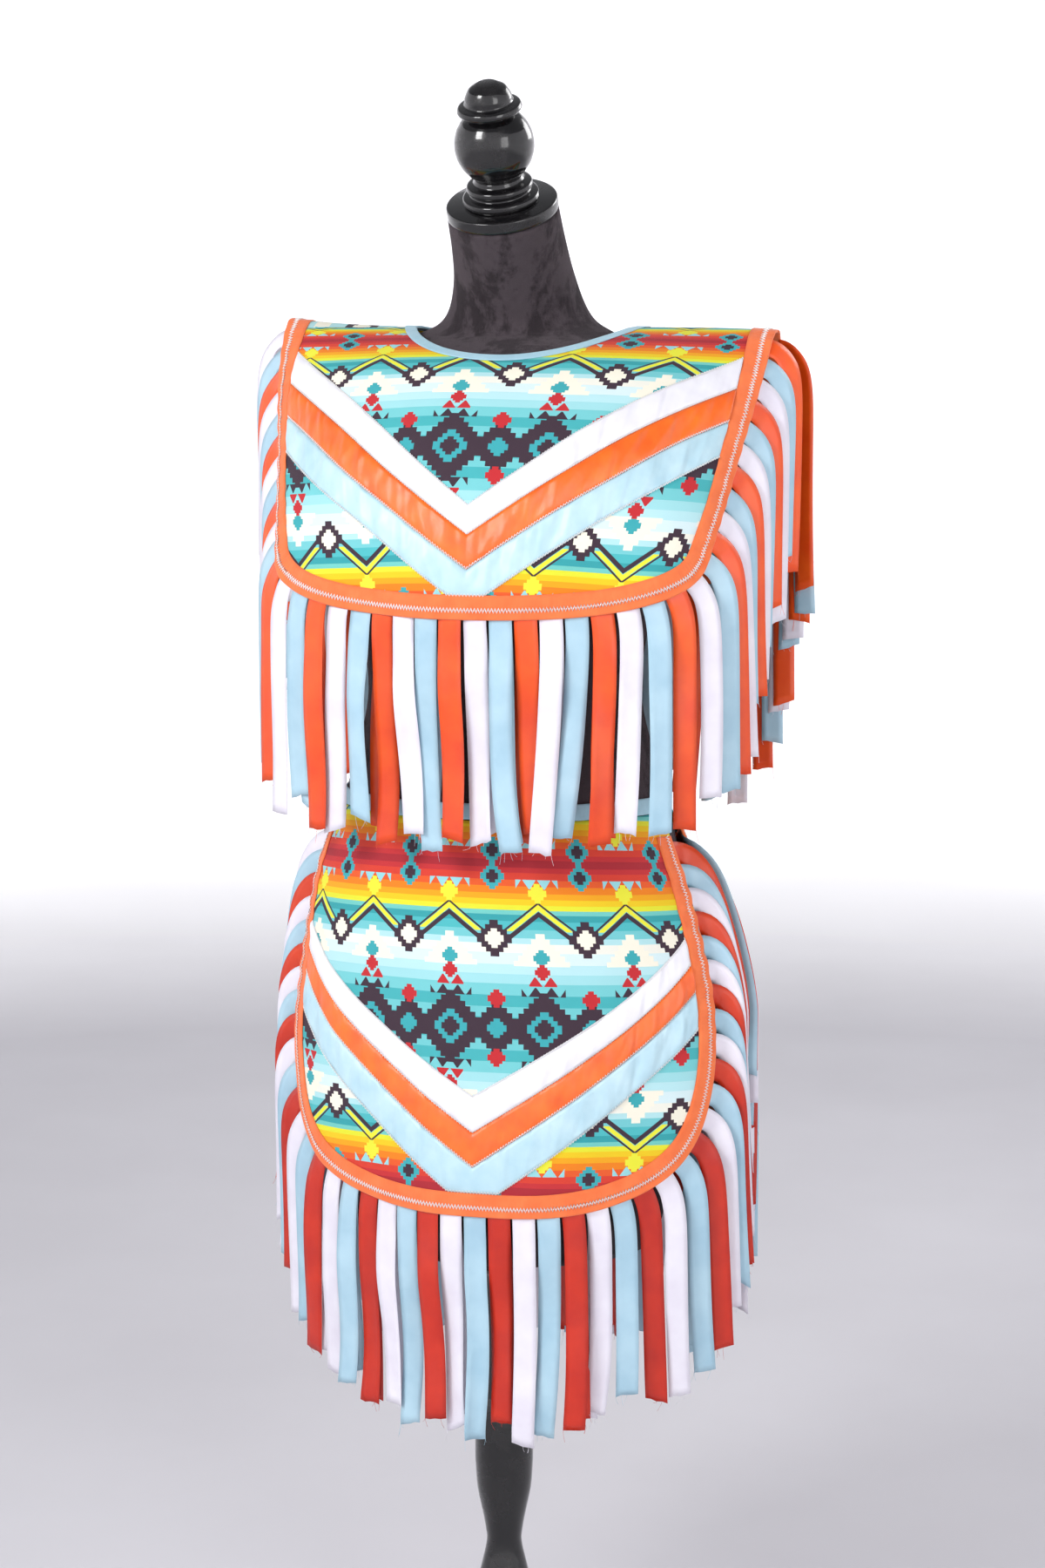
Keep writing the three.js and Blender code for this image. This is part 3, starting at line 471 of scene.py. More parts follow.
def printed_cotton(name, dark_row):
    """Stepped bands of colour that mirror about a row of dark stepped diamonds, with zigzags
    and stepped triangles. dark_row is the distance from the panel's top to that row."""
    f = Finish(name, Roughness=0.8, Sheen_Weight=0.04, Sheen_Roughness=0.5,
               Specular_IOR_Level=0.25)
    x, y = f.cut()
    off = (y - dark_row).wave(REPEAT)
    half = REPEAT / 2
    base = f.node("ShaderNodeValToRGB", dict(stops=[(p, colour(*c)) for p, c in BANDS]),
                  {0: off / half})
    dark, red = colour(62, 46, 58), colour(196, 44, 50)
    cream, lemon, teal = colour(244, 240, 222), colour(232, 230, 60), colour(60, 168, 176)

    def steps(value, size):
        return (value / size).floor() * size

    def diamond(across, up, step, reach):
        """A stepped diamond: its steps across and up add up to less than reach."""
        return steps(across, step) + steps(up, step) < reach

    across = (x + ROW / 4).wave(ROW)                 # 0 at each motif's middle
    beside = (x - ROW / 4).wave(ROW)                 # 0 half way between two
    tooth = x.wave(ROW / 6)                          # small triangles, six to a motif

    def triangles(low, high, lean, reach):
        """A short row of triangles whose points look away from the dark row, or towards it."""
        rise = (off - low) if lean > 0 else (high - off)
        return ((tooth + rise * 0.72 < ROW / 13) * (off > low) * (off < high)
                * (across < reach))

    body = diamond(across, off, 0.0048, 0.0335)
    tie = diamond(beside, off, 0.0048, 0.0225)
    bar = off < 0.0058
    crest = across * 0.75 + off

    def spot(around, level, step, reach):
        """A stepped diamond whose middle is at a level of its own."""
        return diamond(around, abs(off - level), step, reach)

    layers = (  # from the lowest up
        # cream stepped triangles stand on the pale band, with a dark zigzag over them
        (cream, (steps(across, 0.0044) * 1.15 + (off - 0.058) < 0.030) * (off > 0.058)),
        (teal, spot(across, 0.0655, 0.0026, 0.0062)),
        (dark, crest.between(0.1035, 0.1085, 0.0002) * (off > 0.062)),
        (dark, crest.between(0.1150, 0.1170, 0.0002) * (off > 0.070)),
        (lemon, crest.between(0.1094, 0.1141, 0.0002) * (off > 0.090)),
        (dark, spot(beside, 0.0830, 0.0042, 0.0160)),
        (cream, spot(beside, 0.0830, 0.0030, 0.0062)),
        # the dark row: stepped diamonds joined by a bar, with red and dark triangles along it
        (dark, body.math("MAXIMUM", tie).math("MAXIMUM", bar)),
        (dark, triangles(0.0300, 0.0385, 1, 0.0205)),
        (red, triangles(0.0395, 0.0480, 1, 0.0130)),
        (red, spot(across, 0.0525, 0.0024, 0.0064)),
        (teal, diamond(across, off, 0.0040, 0.0150)),
        (dark, diamond(across, off, 0.0030, 0.0072)),
        (teal, diamond(beside, off, 0.0030, 0.0070)),
        (red, spot(beside, 0.0275, 0.0028, 0.0072)),
        # small diamonds and triangles over the red and yellow bands
        (teal, spot(beside, 0.1400, 0.0030, 0.0112)),
        (dark, spot(beside, 0.1400, 0.0030, 0.0052)),
        (colour(150, 212, 218), triangles(0.1290, 0.1375, -1, 0.0210)),
        (lemon, spot(across, 0.1250, 0.0030, 0.0078)),
    )
    for shade, mask in layers:
        base = f.mix(base, shade, mask)
    faded = f.noise(f.place(), 38.0, 4.0)
    base = f.mix(base, colour(120, 110, 112), faded * 0.05)
    return f.feed(Base_Color=base, Normal=weave_bump(f, x, y))


def tape(name, lit, painted_shade_tone):
    """Matt cotton tape, a little darker in random patches: painted shade standing in for the shade
    in its creases.
    """
    f = Finish(name, Roughness=0.78, Sheen_Weight=0.2, Sheen_Roughness=0.5,
               Specular_IOR_Level=0.3)
    x, y = f.cut()
    # painted shade: random patches mix the second, painted shaded colour into the lit one
    painted_shade_patches = f.noise(f.place(), 60.0, 4.0)
    return f.feed(Base_Color=f.mix(colour(*painted_shade_tone), colour(*lit), painted_shade_patches * 1.3 - 0.1),
                  Normal=weave_bump(f, x, y, 0.0007, f.bump(
                      f.noise(f.stretched(f.flat(), 35.0, 150.0), 1.0, 3.0), 0.0022, 0.5)))


def satin_bump(f, x):
    """Long warp floats: fine lines along the ribbon, soft cross creases under them."""
    creases = f.noise(f.stretched(f.flat(), 14.0, 52.0), 1.0, 1.0)
    lines = f.noise(f.place(), 900.0, 1.0)
    floats = x.sine(0.0004)
    return f.bump(floats * 0.25 + lines * 0.5, 0.0002, 0.25, f.bump(creases, 0.008, 0.6))


def satin(name, lit, painted_shade_tone):
    """Woven satin of one colour, deeper where the yarn turns away: the second colour is a painted
    shade, mixed in clouds under the lit one.
    """
    f = Finish(name, Specular_IOR_Level=0.8, Sheen_Weight=0.06, Sheen_Roughness=0.35,
               Anisotropic=0.4)
    x, _ = f.cut()
    # painted light and shade: these clouds mix the painted shaded colour and the lit one, and vary
    # the roughness too
    cloudy = f.noise(f.place(), 45.0, 3.0)
    return f.feed(Base_Color=f.mix(colour(*painted_shade_tone), colour(*lit), cloudy * 1.4 - 0.2),
                  Roughness=cloudy * 0.12 + 0.30, Normal=satin_bump(f, x))


# each fringe colour as a lit tone and then a painted shaded tone
ORANGE, ORANGE_PAINTED_SHADE = (255, 102, 14), (232, 64, 6)
WHITE, WHITE_PAINTED_SHADE = (240, 238, 246), (220, 214, 228)
BLUE, BLUE_PAINTED_SHADE = (184, 216, 230), (152, 190, 210)


def fringe_satin():
    """Satin ribbons in three colours by turns: the whole part of the cut's x is the ribbon's
    colour, and each ribbon has woven edges a little denser than its middle. Each colour is a
    lit tone with a painted shaded tone mixed in by clouds, and the orange turns to a painted
    darker red shade low down."""
    f = Finish("satin_fringe", Specular_IOR_Level=0.6, Sheen_Weight=0.04, Sheen_Roughness=0.35,
               Anisotropic=0.4)
    x, _ = f.cut()
    which = x.floor()
    # painted light and shade: these clouds mix each colour's painted shaded tone and lit tone, and
    # vary the roughness
    cloudy = f.noise(f.place(), 30.0, 3.0) * 1.4 - 0.2
    # painted shade: below 0.62 m up the orange ribbons are a darker red, turning to the lit orange
    # by 1.15 m
    height = f.node("ShaderNodeSeparateXYZ", {}, {0: f.place()}, 2)
    upper = height.ramp(0.62, 1.15)
    orange = f.mix(colour(*ORANGE_PAINTED_SHADE), colour(*ORANGE), cloudy)
    orange = f.mix(f.mix(colour(176, 20, 4), colour(212, 46, 8), cloudy), orange, upper)
    white = f.mix(colour(*WHITE_PAINTED_SHADE), colour(*WHITE), cloudy)
    blue = f.mix(colour(*BLUE_PAINTED_SHADE), colour(*BLUE), cloudy)
    base = f.mix(f.mix(orange, white, which > 0.5), blue, which > 1.5)
    across = x - which
    selvage = (across < 0.045).math("MAXIMUM", across > 0.955)
    floats = across.sine(0.02) * 0.25 + f.noise(f.place(), 900.0, 1.0) * 0.5
    return f.feed(Base_Color=base, Roughness=cloudy * 0.10 + 0.30,
                  Normal=f.bump(floats + selvage * 0.8, 0.0002, 0.3))


def plain_thread(name, shade):
    f = Finish(name, Roughness=0.5, Specular_IOR_Level=0.6, Sheen_Weight=0.4)
    twist = f.noise(f.place(), 2500.0, 1.0)
    return f.feed(Base_Color=f.mix(colour(*[c * 0.94 for c in shade]), colour(*shade), twist))


VELVET = velvet()
LACQUER = black_lacquer()
CAPE_PRINT = printed_cotton("cape_print", 0.226)
APRON_PRINT = printed_cotton("apron_print", 0.190)
# each tape and satin below is given a lit tone and then a painted shaded tone of its colour
ORANGE_TAPE = tape("orange_bias_tape", (250, 132, 76), (232, 104, 54))
BLUE_TAPE = tape("light_blue_tape", (178, 216, 230), (150, 196, 214))
SATINS = dict(white=satin("white_satin", (246, 246, 250), (228, 226, 236)),
              orange=satin("orange_satin", (255, 122, 12), (236, 84, 8)),
              light_blue=satin("light_blue_satin", (200, 229, 238), (166, 206, 222)))
FRINGE = fringe_satin()
WHITE_THREAD = plain_thread("white_thread", (255, 254, 252))


# ---------------------------------------------------------------- dress form

def torso_ring(z, out, angles):
    """Points of the torso's ellipse at height z, moved out."""
    half = column(TORSO, "z", "half", z)
    front, back = column(TORSO, "z", "front", z), column(TORSO, "z", "back", z)
    return np.stack([(half + out) * np.cos(angles),
                     (front + back) / 2 + ((back - front) / 2 + out) * np.sin(angles),
                     z + 0 * angles], -1)


def torso():
    """Elliptic sections up the body, then tilted ones up the neck; each section's row is a
    ring of points and rows between the tables' own follow the same curves."""
    angles = 2 * math.pi * np.arange(96) / 96
    floor = TORSO["z"][0]
    heights = np.concatenate([[floor, floor, floor + 2.5, floor + 6],
                              np.linspace(floor + 10, TORSO["z"][-1], 90)])
    inset = np.concatenate([[100, 10, 4.5, 1.4], np.zeros(90)])
    body = np.stack([torso_ring(z, -i, angles) for z, i in zip(heights, inset)])
    place = np.linspace(0, 5, 34)
    table = dict(k=np.arange(6), **NECK)
    y, z, tilt, half, depth = (column(table, "k", n, place)[:, None] for n in NECK)
    tilt = np.radians(tilt)
    neck = np.stack([half * np.cos(angles), y + depth * np.sin(angles) * np.cos(tilt),
                     z + depth * np.sin(angles) * np.sin(tilt)], -1)
    between = body[-1] + (neck[0] - body[-1]) * np.array([1 / 3, 2 / 3])[:, None, None]
    rings = np.concatenate([body, between, neck])
    rings = np.concatenate([rings, rings[-1:].mean(1, keepdims=True)
                            + (rings[-1:] - rings[-1:].mean(1, keepdims=True)) * 0.3])
    return outward(sleeve("torso_velvet", rings, VELVET))


def turned(name, profile, centre, tilt, sides=64):
    """A turned piece: the profile of radius and height, rounded by curves through its rows,
    swept round an axis that leans forward by tilt degrees."""
    rows = np.array(profile, float)
    k = np.arange(len(rows))
    fine = np.concatenate([np.linspace(a, a + 1, 4, endpoint=False) for a in k[:-1]] + [[k[-1]]])
    table = dict(k=k, r=rows[:, 0], h=rows[:, 1])
    r, h = column(table, "k", "r", fine), column(table, "k", "h", fine)
    # closer to straight lines than to the curve where a fillet would swell past the solid
    r = 0.55 * r + 0.45 * np.interp(fine, k, rows[:, 0])
    h = 0.55 * h + 0.45 * np.interp(fine, k, rows[:, 1])
    r = np.maximum(r, 0.2)
    r = np.concatenate([[0.2], r, [0.2]])
    h = np.concatenate([h[:1], h, h[-1:]])
    a = 2 * math.pi * np.arange(sides) / sides
    x, y = r[:, None] * np.cos(a), r[:, None] * np.sin(a)
    lean = math.radians(tilt)
    rings = np.stack([x, y * math.cos(lean) - h[:, None] * math.sin(lean) + centre[1],
                      y * math.sin(lean) + h[:, None] * math.cos(lean) + centre[2]], -1)
    return outward(sleeve(name, rings, LACQUER))


def dress_form():
    body = torso()
    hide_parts("form_torso")
    head = (0, 0, CAP_Z)
    cap = turned("cap_disc", [(50, 0.3), (52, 1.6), (52, 10.6), (50.4, 12)], head, NECK_TILT)
    ball = [(37 * math.cos(math.radians(a)), 67.3 + 37 * math.sin(math.radians(a)))
            for a in (-55, -42, -28, -14, 0, 14, 28, 42, 55)]
    finial = turned("turned_finial", [
        (35, 12.3), (36, 15.3), (35, 19.3), (29, 21.3), (28.5, 23.3), (31, 26.3), (30, 30.3),
        (24, 32.3), (22, 36.3), *ball, (28, 99.3), (30, 102.3), (28.5, 106.3), (22.5, 108.3),
        (21.5, 114.3), (17, 122.3), (9, 126.8)], head, NECK_TILT)
    pole = turned("turned_pole", [
        (33, 30.3), (34, 40), (30, 48), (26, 60), (31, 82), (31, 100), (25, 140), (18.5, 168),
        (17, 180), (20, 200), (26.5, 232), (28.5, 262), (28, 290), (24, 318), (21, 335),
        (21, 448), (32, 456), (32, 485.7)], (0, 0, 0), 0)
    foot = turned("round_foot", [
        (165, 0), (168, 3), (168, 11), (162, 16), (128, 20), (70, 25), (52, 30)], (0, 0, 0), 0, 96)
    for piece, node in ((cap, "form_cap"), (finial, "form_finial"), (pole, "form_pole"),
                        (foot, "form_base")):
        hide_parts(node)
    return body


# ---------------------------------------------------------------- panels

class Panel:
    """A sewn panel. u runs from -1 to 1 across it and t from 0 at its top to 1 at its lowest
    level, as in its solid: at each level the plan is an arc of an ellipse. relief(u, t) is how
    far the cloth stands out in its folds."""

    def __init__(self, levels, facing, place, side_end, corner, neck, relief):
        self.levels, self.facing, self.place = levels, facing, place
        self.side_end, self.corner, self.neck, self.relief = side_end, corner, neck, relief

    def base(self, u, t):
        """x = shift - facing half sin(u bow) / sin(bow); y and z go from their middle value to
        their edge value as (1 - cos(u bow)) / (1 - cos(bow))."""
        u, t = np.broadcast_arrays(np.asarray(u, float), np.asarray(t, float))
        half, mid_y, mid_z, edge_y, edge_z, bow = (
            column(self.levels, "t", n, t) for n in ("half", "midY", "midZ", "edgeY", "edgeZ",
                                                     "bow"))
        bow = np.radians(bow)
        shift, droop = self.place(t)
        spread = (1 - np.cos(u * bow)) / (1 - np.cos(bow))
        return np.stack([shift - self.facing * half * np.sin(u * bow) / np.sin(bow),
                         mid_y + (edge_y - mid_y) * spread,
                         mid_z + (edge_z - mid_z) * spread + self.facing * droop * u ** 3], -1)

    def slopes(self, u, t, surface=None):
        surface = surface or self.base
        d = 1e-3
        low = np.maximum(t - d, 0)
        du = (surface(u + d, t) - surface(u - d, t)) / (2 * d)
        dt = (surface(u, t + d) - surface(u, low)) / (t + d - low)[..., None]
        return du, dt

    def flat_normal(self, u, t):
        du, dt = self.slopes(u, t)
        return unit(np.cross(dt, du))

    def at(self, u, t):
        return self.base(u, t) + self.flat_normal(u, t) * self.relief(u, t)[..., None]

    def lay(self, u, t, out):
        """Points on the folded cloth's middle, moved out along its own normal."""
        u, t = np.broadcast_arrays(np.asarray(u, float), np.asarray(t, float))
        du, dt = self.slopes(u, t, self.at)
        return self.at(u, t) + unit(np.cross(dt, du)) * np.asarray(out, float)[..., None]

    def walk(self, u, t, direction, distance, steps=4):
        """Where one gets by going a distance over the cloth towards a direction of space."""
        u, t = np.array(u, float), np.array(t, float)
        distance = np.broadcast_to(np.asarray(distance, float), u.shape)
        for _ in range(steps):
            du, dt = self.slopes(u, t)
            a, b, c = (du * du).sum(-1), (du * dt).sum(-1), (dt * dt).sum(-1)
            p, q = (du * direction).sum(-1), (dt * direction).sum(-1)
            step = distance / steps / (a * c - b * b)
            u, t = u + (c * p - b * q) * step, t + (a * q - b * p) * step
        return u, t

    def hem(self, u):
        """Lowest t of the cloth: side_end at the sides, then 1 - |u|^corner rounds it."""
        reach = np.maximum(0, 1 - np.abs(u) ** self.corner)
        return self.side_end + (1 - self.side_end) * reach ** (1 / self.corner)

    def top(self, u):
        """Highest t: 0, or the neckline's half ellipse."""
        if not self.neck:
            return np.zeros_like(u)
        wide, dip = self.neck
        return dip * np.sqrt(np.maximum(0, 1 - (u / wide) ** 2))

    def edge(self, start, count):
        """count places at equal steps along the cut edge: down one side, round the hem, up the
        other. Gives u, t, the direction along the edge, the direction in, and the length."""
        f = np.linspace(0, 1, 4001)
        side = 0.3
        a = math.pi * (1 - (f - side) / (1 - 2 * side))
        power = 2 / self.corner
        c, s = np.cos(np.clip(a, 0, math.pi)), np.sin(np.clip(a, 0, math.pi))
        u = np.where(f < side, -1, np.where(f > 1 - side, 1, np.sign(c) * np.abs(c) ** power))
        t = self.side_end + (1 - self.side_end) * np.maximum(s, 0) ** power
        t = np.where(f < side, start + (self.side_end - start) * f / side, t)
        t = np.where(f > 1 - side, start + (self.side_end - start) * (1 - f) / side, t)
        run = run_along(self.base(u, t))
        goal = np.linspace(0, run[-1], count)
        u, t = np.interp(goal, run, u), np.interp(goal, run, t)
        along, inward = self.frame(u, t)
        return u, t, along, inward, run[-1]

    def frame(self, u, t):
        """Directions along a line of places, and in from it over the cloth."""
        along = unit(np.gradient(self.base(u, t), axis=0))
        return along, unit(np.cross(self.flat_normal(u, t), along))

    def strip(self, u, t, inward, distances, outs):
        """Points at each distance in from edge places, out from the cloth: a places x
        distances grid."""
        rows = []
        for distance, out in zip(distances, outs):
            uu, tt = self.walk(u, t, inward, distance)
            rows.append(self.lay(uu, tt, np.broadcast_to(out, uu.shape)))
        return np.stack(rows, 1)


def cloth(name, panel, material, columns, rows, hang):
    """The printed panel: columns run from its top edge to its hem, close together near the
    sides; its flat coordinates are the distances across and down the cut."""
    u = np.sin(np.linspace(-1, 1, columns) * 1.38) / math.sin(1.38)
    u[0], u[-1] = -1, 1
    f = np.linspace(0, 1, rows)[:, None]
    top = panel.top(u)
    t = top + (panel.hem(u) - top) * f
    uu = np.broadcast_to(u, t.shape)
    grid = panel.base(uu, t)
    levels = np.linspace(0, 1, 400)
    down = panel.base(u, levels[:, None])
    run = run_along(down)
    v = np.stack([np.interp(t[:, j], levels, run[:, j]) for j in range(columns)], 1)
    # the rows of the print lie nearly level on the body
    level = np.interp(-grid[..., 2], -down[:, columns // 2, 2], run[:, columns // 2])
    v = v + (level - v) * hang[0] - hang[1] * uu ** 2
    places = np.linspace(-1, 1, 801)
    reach = run_along(panel.base(places, 0.62))
    across = np.interp(uu, places, reach - reach[400])
    uv = np.stack([across, v], -1) / 1000
    piece = shell(name, panel.lay(uu, t, CLOTH / 2), panel.lay(uu, t, -CLOTH / 2), material, uv)
    cells = np.cross(grid[1:, 1:] - grid[:-1, :-1], grid[1:, :-1] - grid[:-1, 1:])
    area = np.linalg.norm(cells, axis=-1).sum() / 2 * 1e-6
    return outward(piece), area


def fold_over(panel, u, t, inward, legs, outs, off, bends):
    """A tape's section over an edge: down the front leg, round the fold, up the back leg. The
    legs lie outs from the cloth's middle and the fold is an arc of radius off."""
    turn = np.radians(np.linspace(75, -75, bends))[:, None]
    front = panel.strip(u, t, inward, legs, outs)
    back = panel.strip(u, t, inward, legs, [-out for out in outs])
    fold = (panel.at(u, t)[:, None] - inward[:, None] * (off * np.cos(turn))
            + panel.flat_normal(u, t)[:, None] * (off * np.sin(turn)))
    return np.concatenate([front, fold, back[:, ::-1]], 1)


def folded_tape(name, panel, places, width, material, seed):
    """Bias tape folded over an edge: its section goes down the front leg, round the fold and
    up the back leg, then back inside them. It puckers a little where it is stitched."""
    u, t, inward = places
    n = len(u)
    thick, gap = 0.75, 0.25
    near, far = CLOTH / 2 + gap, CLOTH / 2 + gap + thick
    legs = np.linspace(1, 0.02, 6) * width
    run = run_along(panel.base(u, t))
    pucker = 0.35 * ripple(run, 0, seed, 9, 7.0, 26.0)
    lift = (0.6, 1.0, 0.6, 0.3, 0.7, 0.2)

    def layer(off):
        return fold_over(panel, u, t, inward, legs, [off + l * pucker for l in lift], off, 5)

    rings = np.concatenate([layer(far), layer(near)[:, ::-1]], 1)
    around = rings.shape[1]
    uv = np.stack([np.broadcast_to(np.arange(around) * 0.0021, (n, around)),
                   np.broadcast_to(run[:, None] / 1000, (n, around))], -1)
    return outward(sleeve(name, rings, material, uv))


def zigzag(name, panel, u, t, inward, run, centre, reach, pitch, out, radius):
    """A machine zigzag: the needle goes from one side of its line to the other at each half
    pitch, and the thread rises a little between."""
    count = int(run[-1] / (pitch / 2))
    goal = np.linspace(0, run[-1], count)
    uu, tt = np.interp(goal, run, u), np.interp(goal, run, t)
    way = np.stack([np.interp(goal, run, inward[:, k]) for k in range(3)], -1)
    swing = centre + np.where(np.arange(count) % 2 == 0, reach, -reach) / 2
    a, b = panel.walk(uu, tt, unit(way), swing)
    points = panel.lay(a, b, np.full(count, out))
    middle = (points[1:] + points[:-1]) / 2
    rise = panel.lay((a[1:] + a[:-1]) / 2, (b[1:] + b[:-1]) / 2, np.full(count - 1, out + 0.28))
    path = np.empty((2 * count - 1, 3))
    path[0::2], path[1::2] = points, (middle + 2 * rise) / 3
    points, faces = thread(path[None], radius)
    return new_mesh(name, points, faces, WHITE_THREAD)


# ---------------------------------------------------------------- chevrons

def chevron(name, panel, band, material, out, seed, lines):
    """One ribbon of a V. A place on it is s from -1 to 1 along the V and w from 0 to 1 from
    its upper edge to its lower one; satin creases run across it and fade at the stitches."""
    tip_top, tip_low, end_top, end_low = band
    s = np.linspace(-1, 1, 221)
    w = np.linspace(0, 1, 9)[:, None]

    def line(tip, end):
        clear = BINDING_WIDTH + 0.4
        side = np.where(s < 0, -1.0, 1.0)
        du, _ = panel.slopes(side, np.full_like(side, end))
        inner, _ = panel.walk(side, np.full_like(side, end), unit(du) * -side[:, None], clear)
        u = inner * np.abs(s)
        t = tip + (end - tip) * np.abs(s)
        _, dt = panel.slopes(u, np.full_like(u, 0.9))
        return u, np.minimum(t, panel.hem(u) - clear / np.linalg.norm(dt, axis=-1))

    (u1, t1), (u2, t2) = line(tip_top, end_top), line(tip_low, end_low)
    u, t = u1 + (u2 - u1) * w, t1 + (t2 - t1) * w
    points = panel.base(u, t)
    run = run_along(points[4])
    wide = np.linalg.norm(points[-1] - points[0], axis=-1)
    held = 4 * w * (1 - w)
    x, y = run[None], w * wide
    crease = ripple(x + 0.5 * y, y * 0.35, seed, 9, 9.0, 46.0)
    crease = np.sign(crease) * np.abs(crease) ** 1.4
    lift = 0.2 + held ** 0.5 * (1.3 + 1.7 * crease) + 0.5 * np.exp(-(s * 24) ** 2) * held
    lift = np.maximum(lift, 0.12)
    uv = np.stack([np.broadcast_to(y / 1000, u.shape), np.broadcast_to(x / 1000, u.shape)], -1)
    piece = shell(name, panel.lay(u, t, out + lift + 0.35), panel.lay(u, t, out + lift * 0.5),
                  material, uv)
    seams = []
    for label, row in lines:
        inward = unit(points[4] - points[row])
        seams.append(zigzag(f"{name}_stitch_{label}", panel, u[row], t[row], inward,
                            run_along(points[row]), centre=0.9, reach=2.6, pitch=3.0,
                            out=out + 1.0, radius=0.34))
    return outward(piece), seams


# ---------------------------------------------------------------- ribbons

def strand_places(panel, start, rng):
    """Where the ribbons leave the edge, one to a pitch, then again those along the hem that
    have a second one behind: u, t, the ways along the edge and in, each ribbon's place in its
    row, and 1 for a second one."""
    total = panel.edge(start, 3)[4]
    count = round(total / RIBBON_PITCH)
    u, t, along, inward, _ = panel.edge(start, 2 * count + 1)
    order = np.arange(count)
    hanging = np.hypot(inward[1::2, 0], inward[1::2, 1]) < 0.45
    second = order[hanging & (rng.random(count) < 0.6)]
    pick = np.concatenate([order, second])
    behind = np.concatenate([np.zeros(count), np.ones(len(second))])
    middle = 2 * pick + 1
    return u[middle], t[middle], along[middle], inward[middle], pick, behind


def follow_edge(panel, centre, head, side, share):
    """Takes each ribbon in or out with the panel's own side edge as it comes down past it."""
    levels = np.linspace(0, panel.side_end, 200)
    for sign in (-1, 1):
        line = panel.base(float(sign), levels)[::-1]
        mine = (side == sign) * share
        for k in (0, 1):
            here, was = (np.interp(z, line[:, 2], line[:, k])
                         for z in (centre[..., 2], head[:, 2]))
            centre[..., k] += mine * (here - was[:, None])


def ribbon_strips(name, surface, normal, gone, shade):
    """Closed thin strips about surface (ribbons, steps, columns, 3). The whole part of their
    flat x is the ribbon's colour."""
    n, steps, columns = surface.shape[:3]
    size = steps * columns
    one = grid_faces(steps, columns)
    faces = np.concatenate([one, one[:, ::-1] + n * size, rim_faces(steps, columns, n * size)])
    faces = (faces + (np.arange(n) * size)[:, None, None]).reshape(-1, 4)
    width = np.linspace(0, 1, columns)
    x = shade[:, None, None] + 0.01 + 0.98 * width + 0 * gone[..., None]
    uv = np.stack([x, gone[..., None] / 1000 + 0 * width], -1).reshape(-1, 2)
    points = np.concatenate([(surface + normal).reshape(-1, 3),
                             (surface - normal).reshape(-1, 3)])
    return outward(new_mesh(name, points, faces, FRINGE, np.concatenate([uv, uv])))


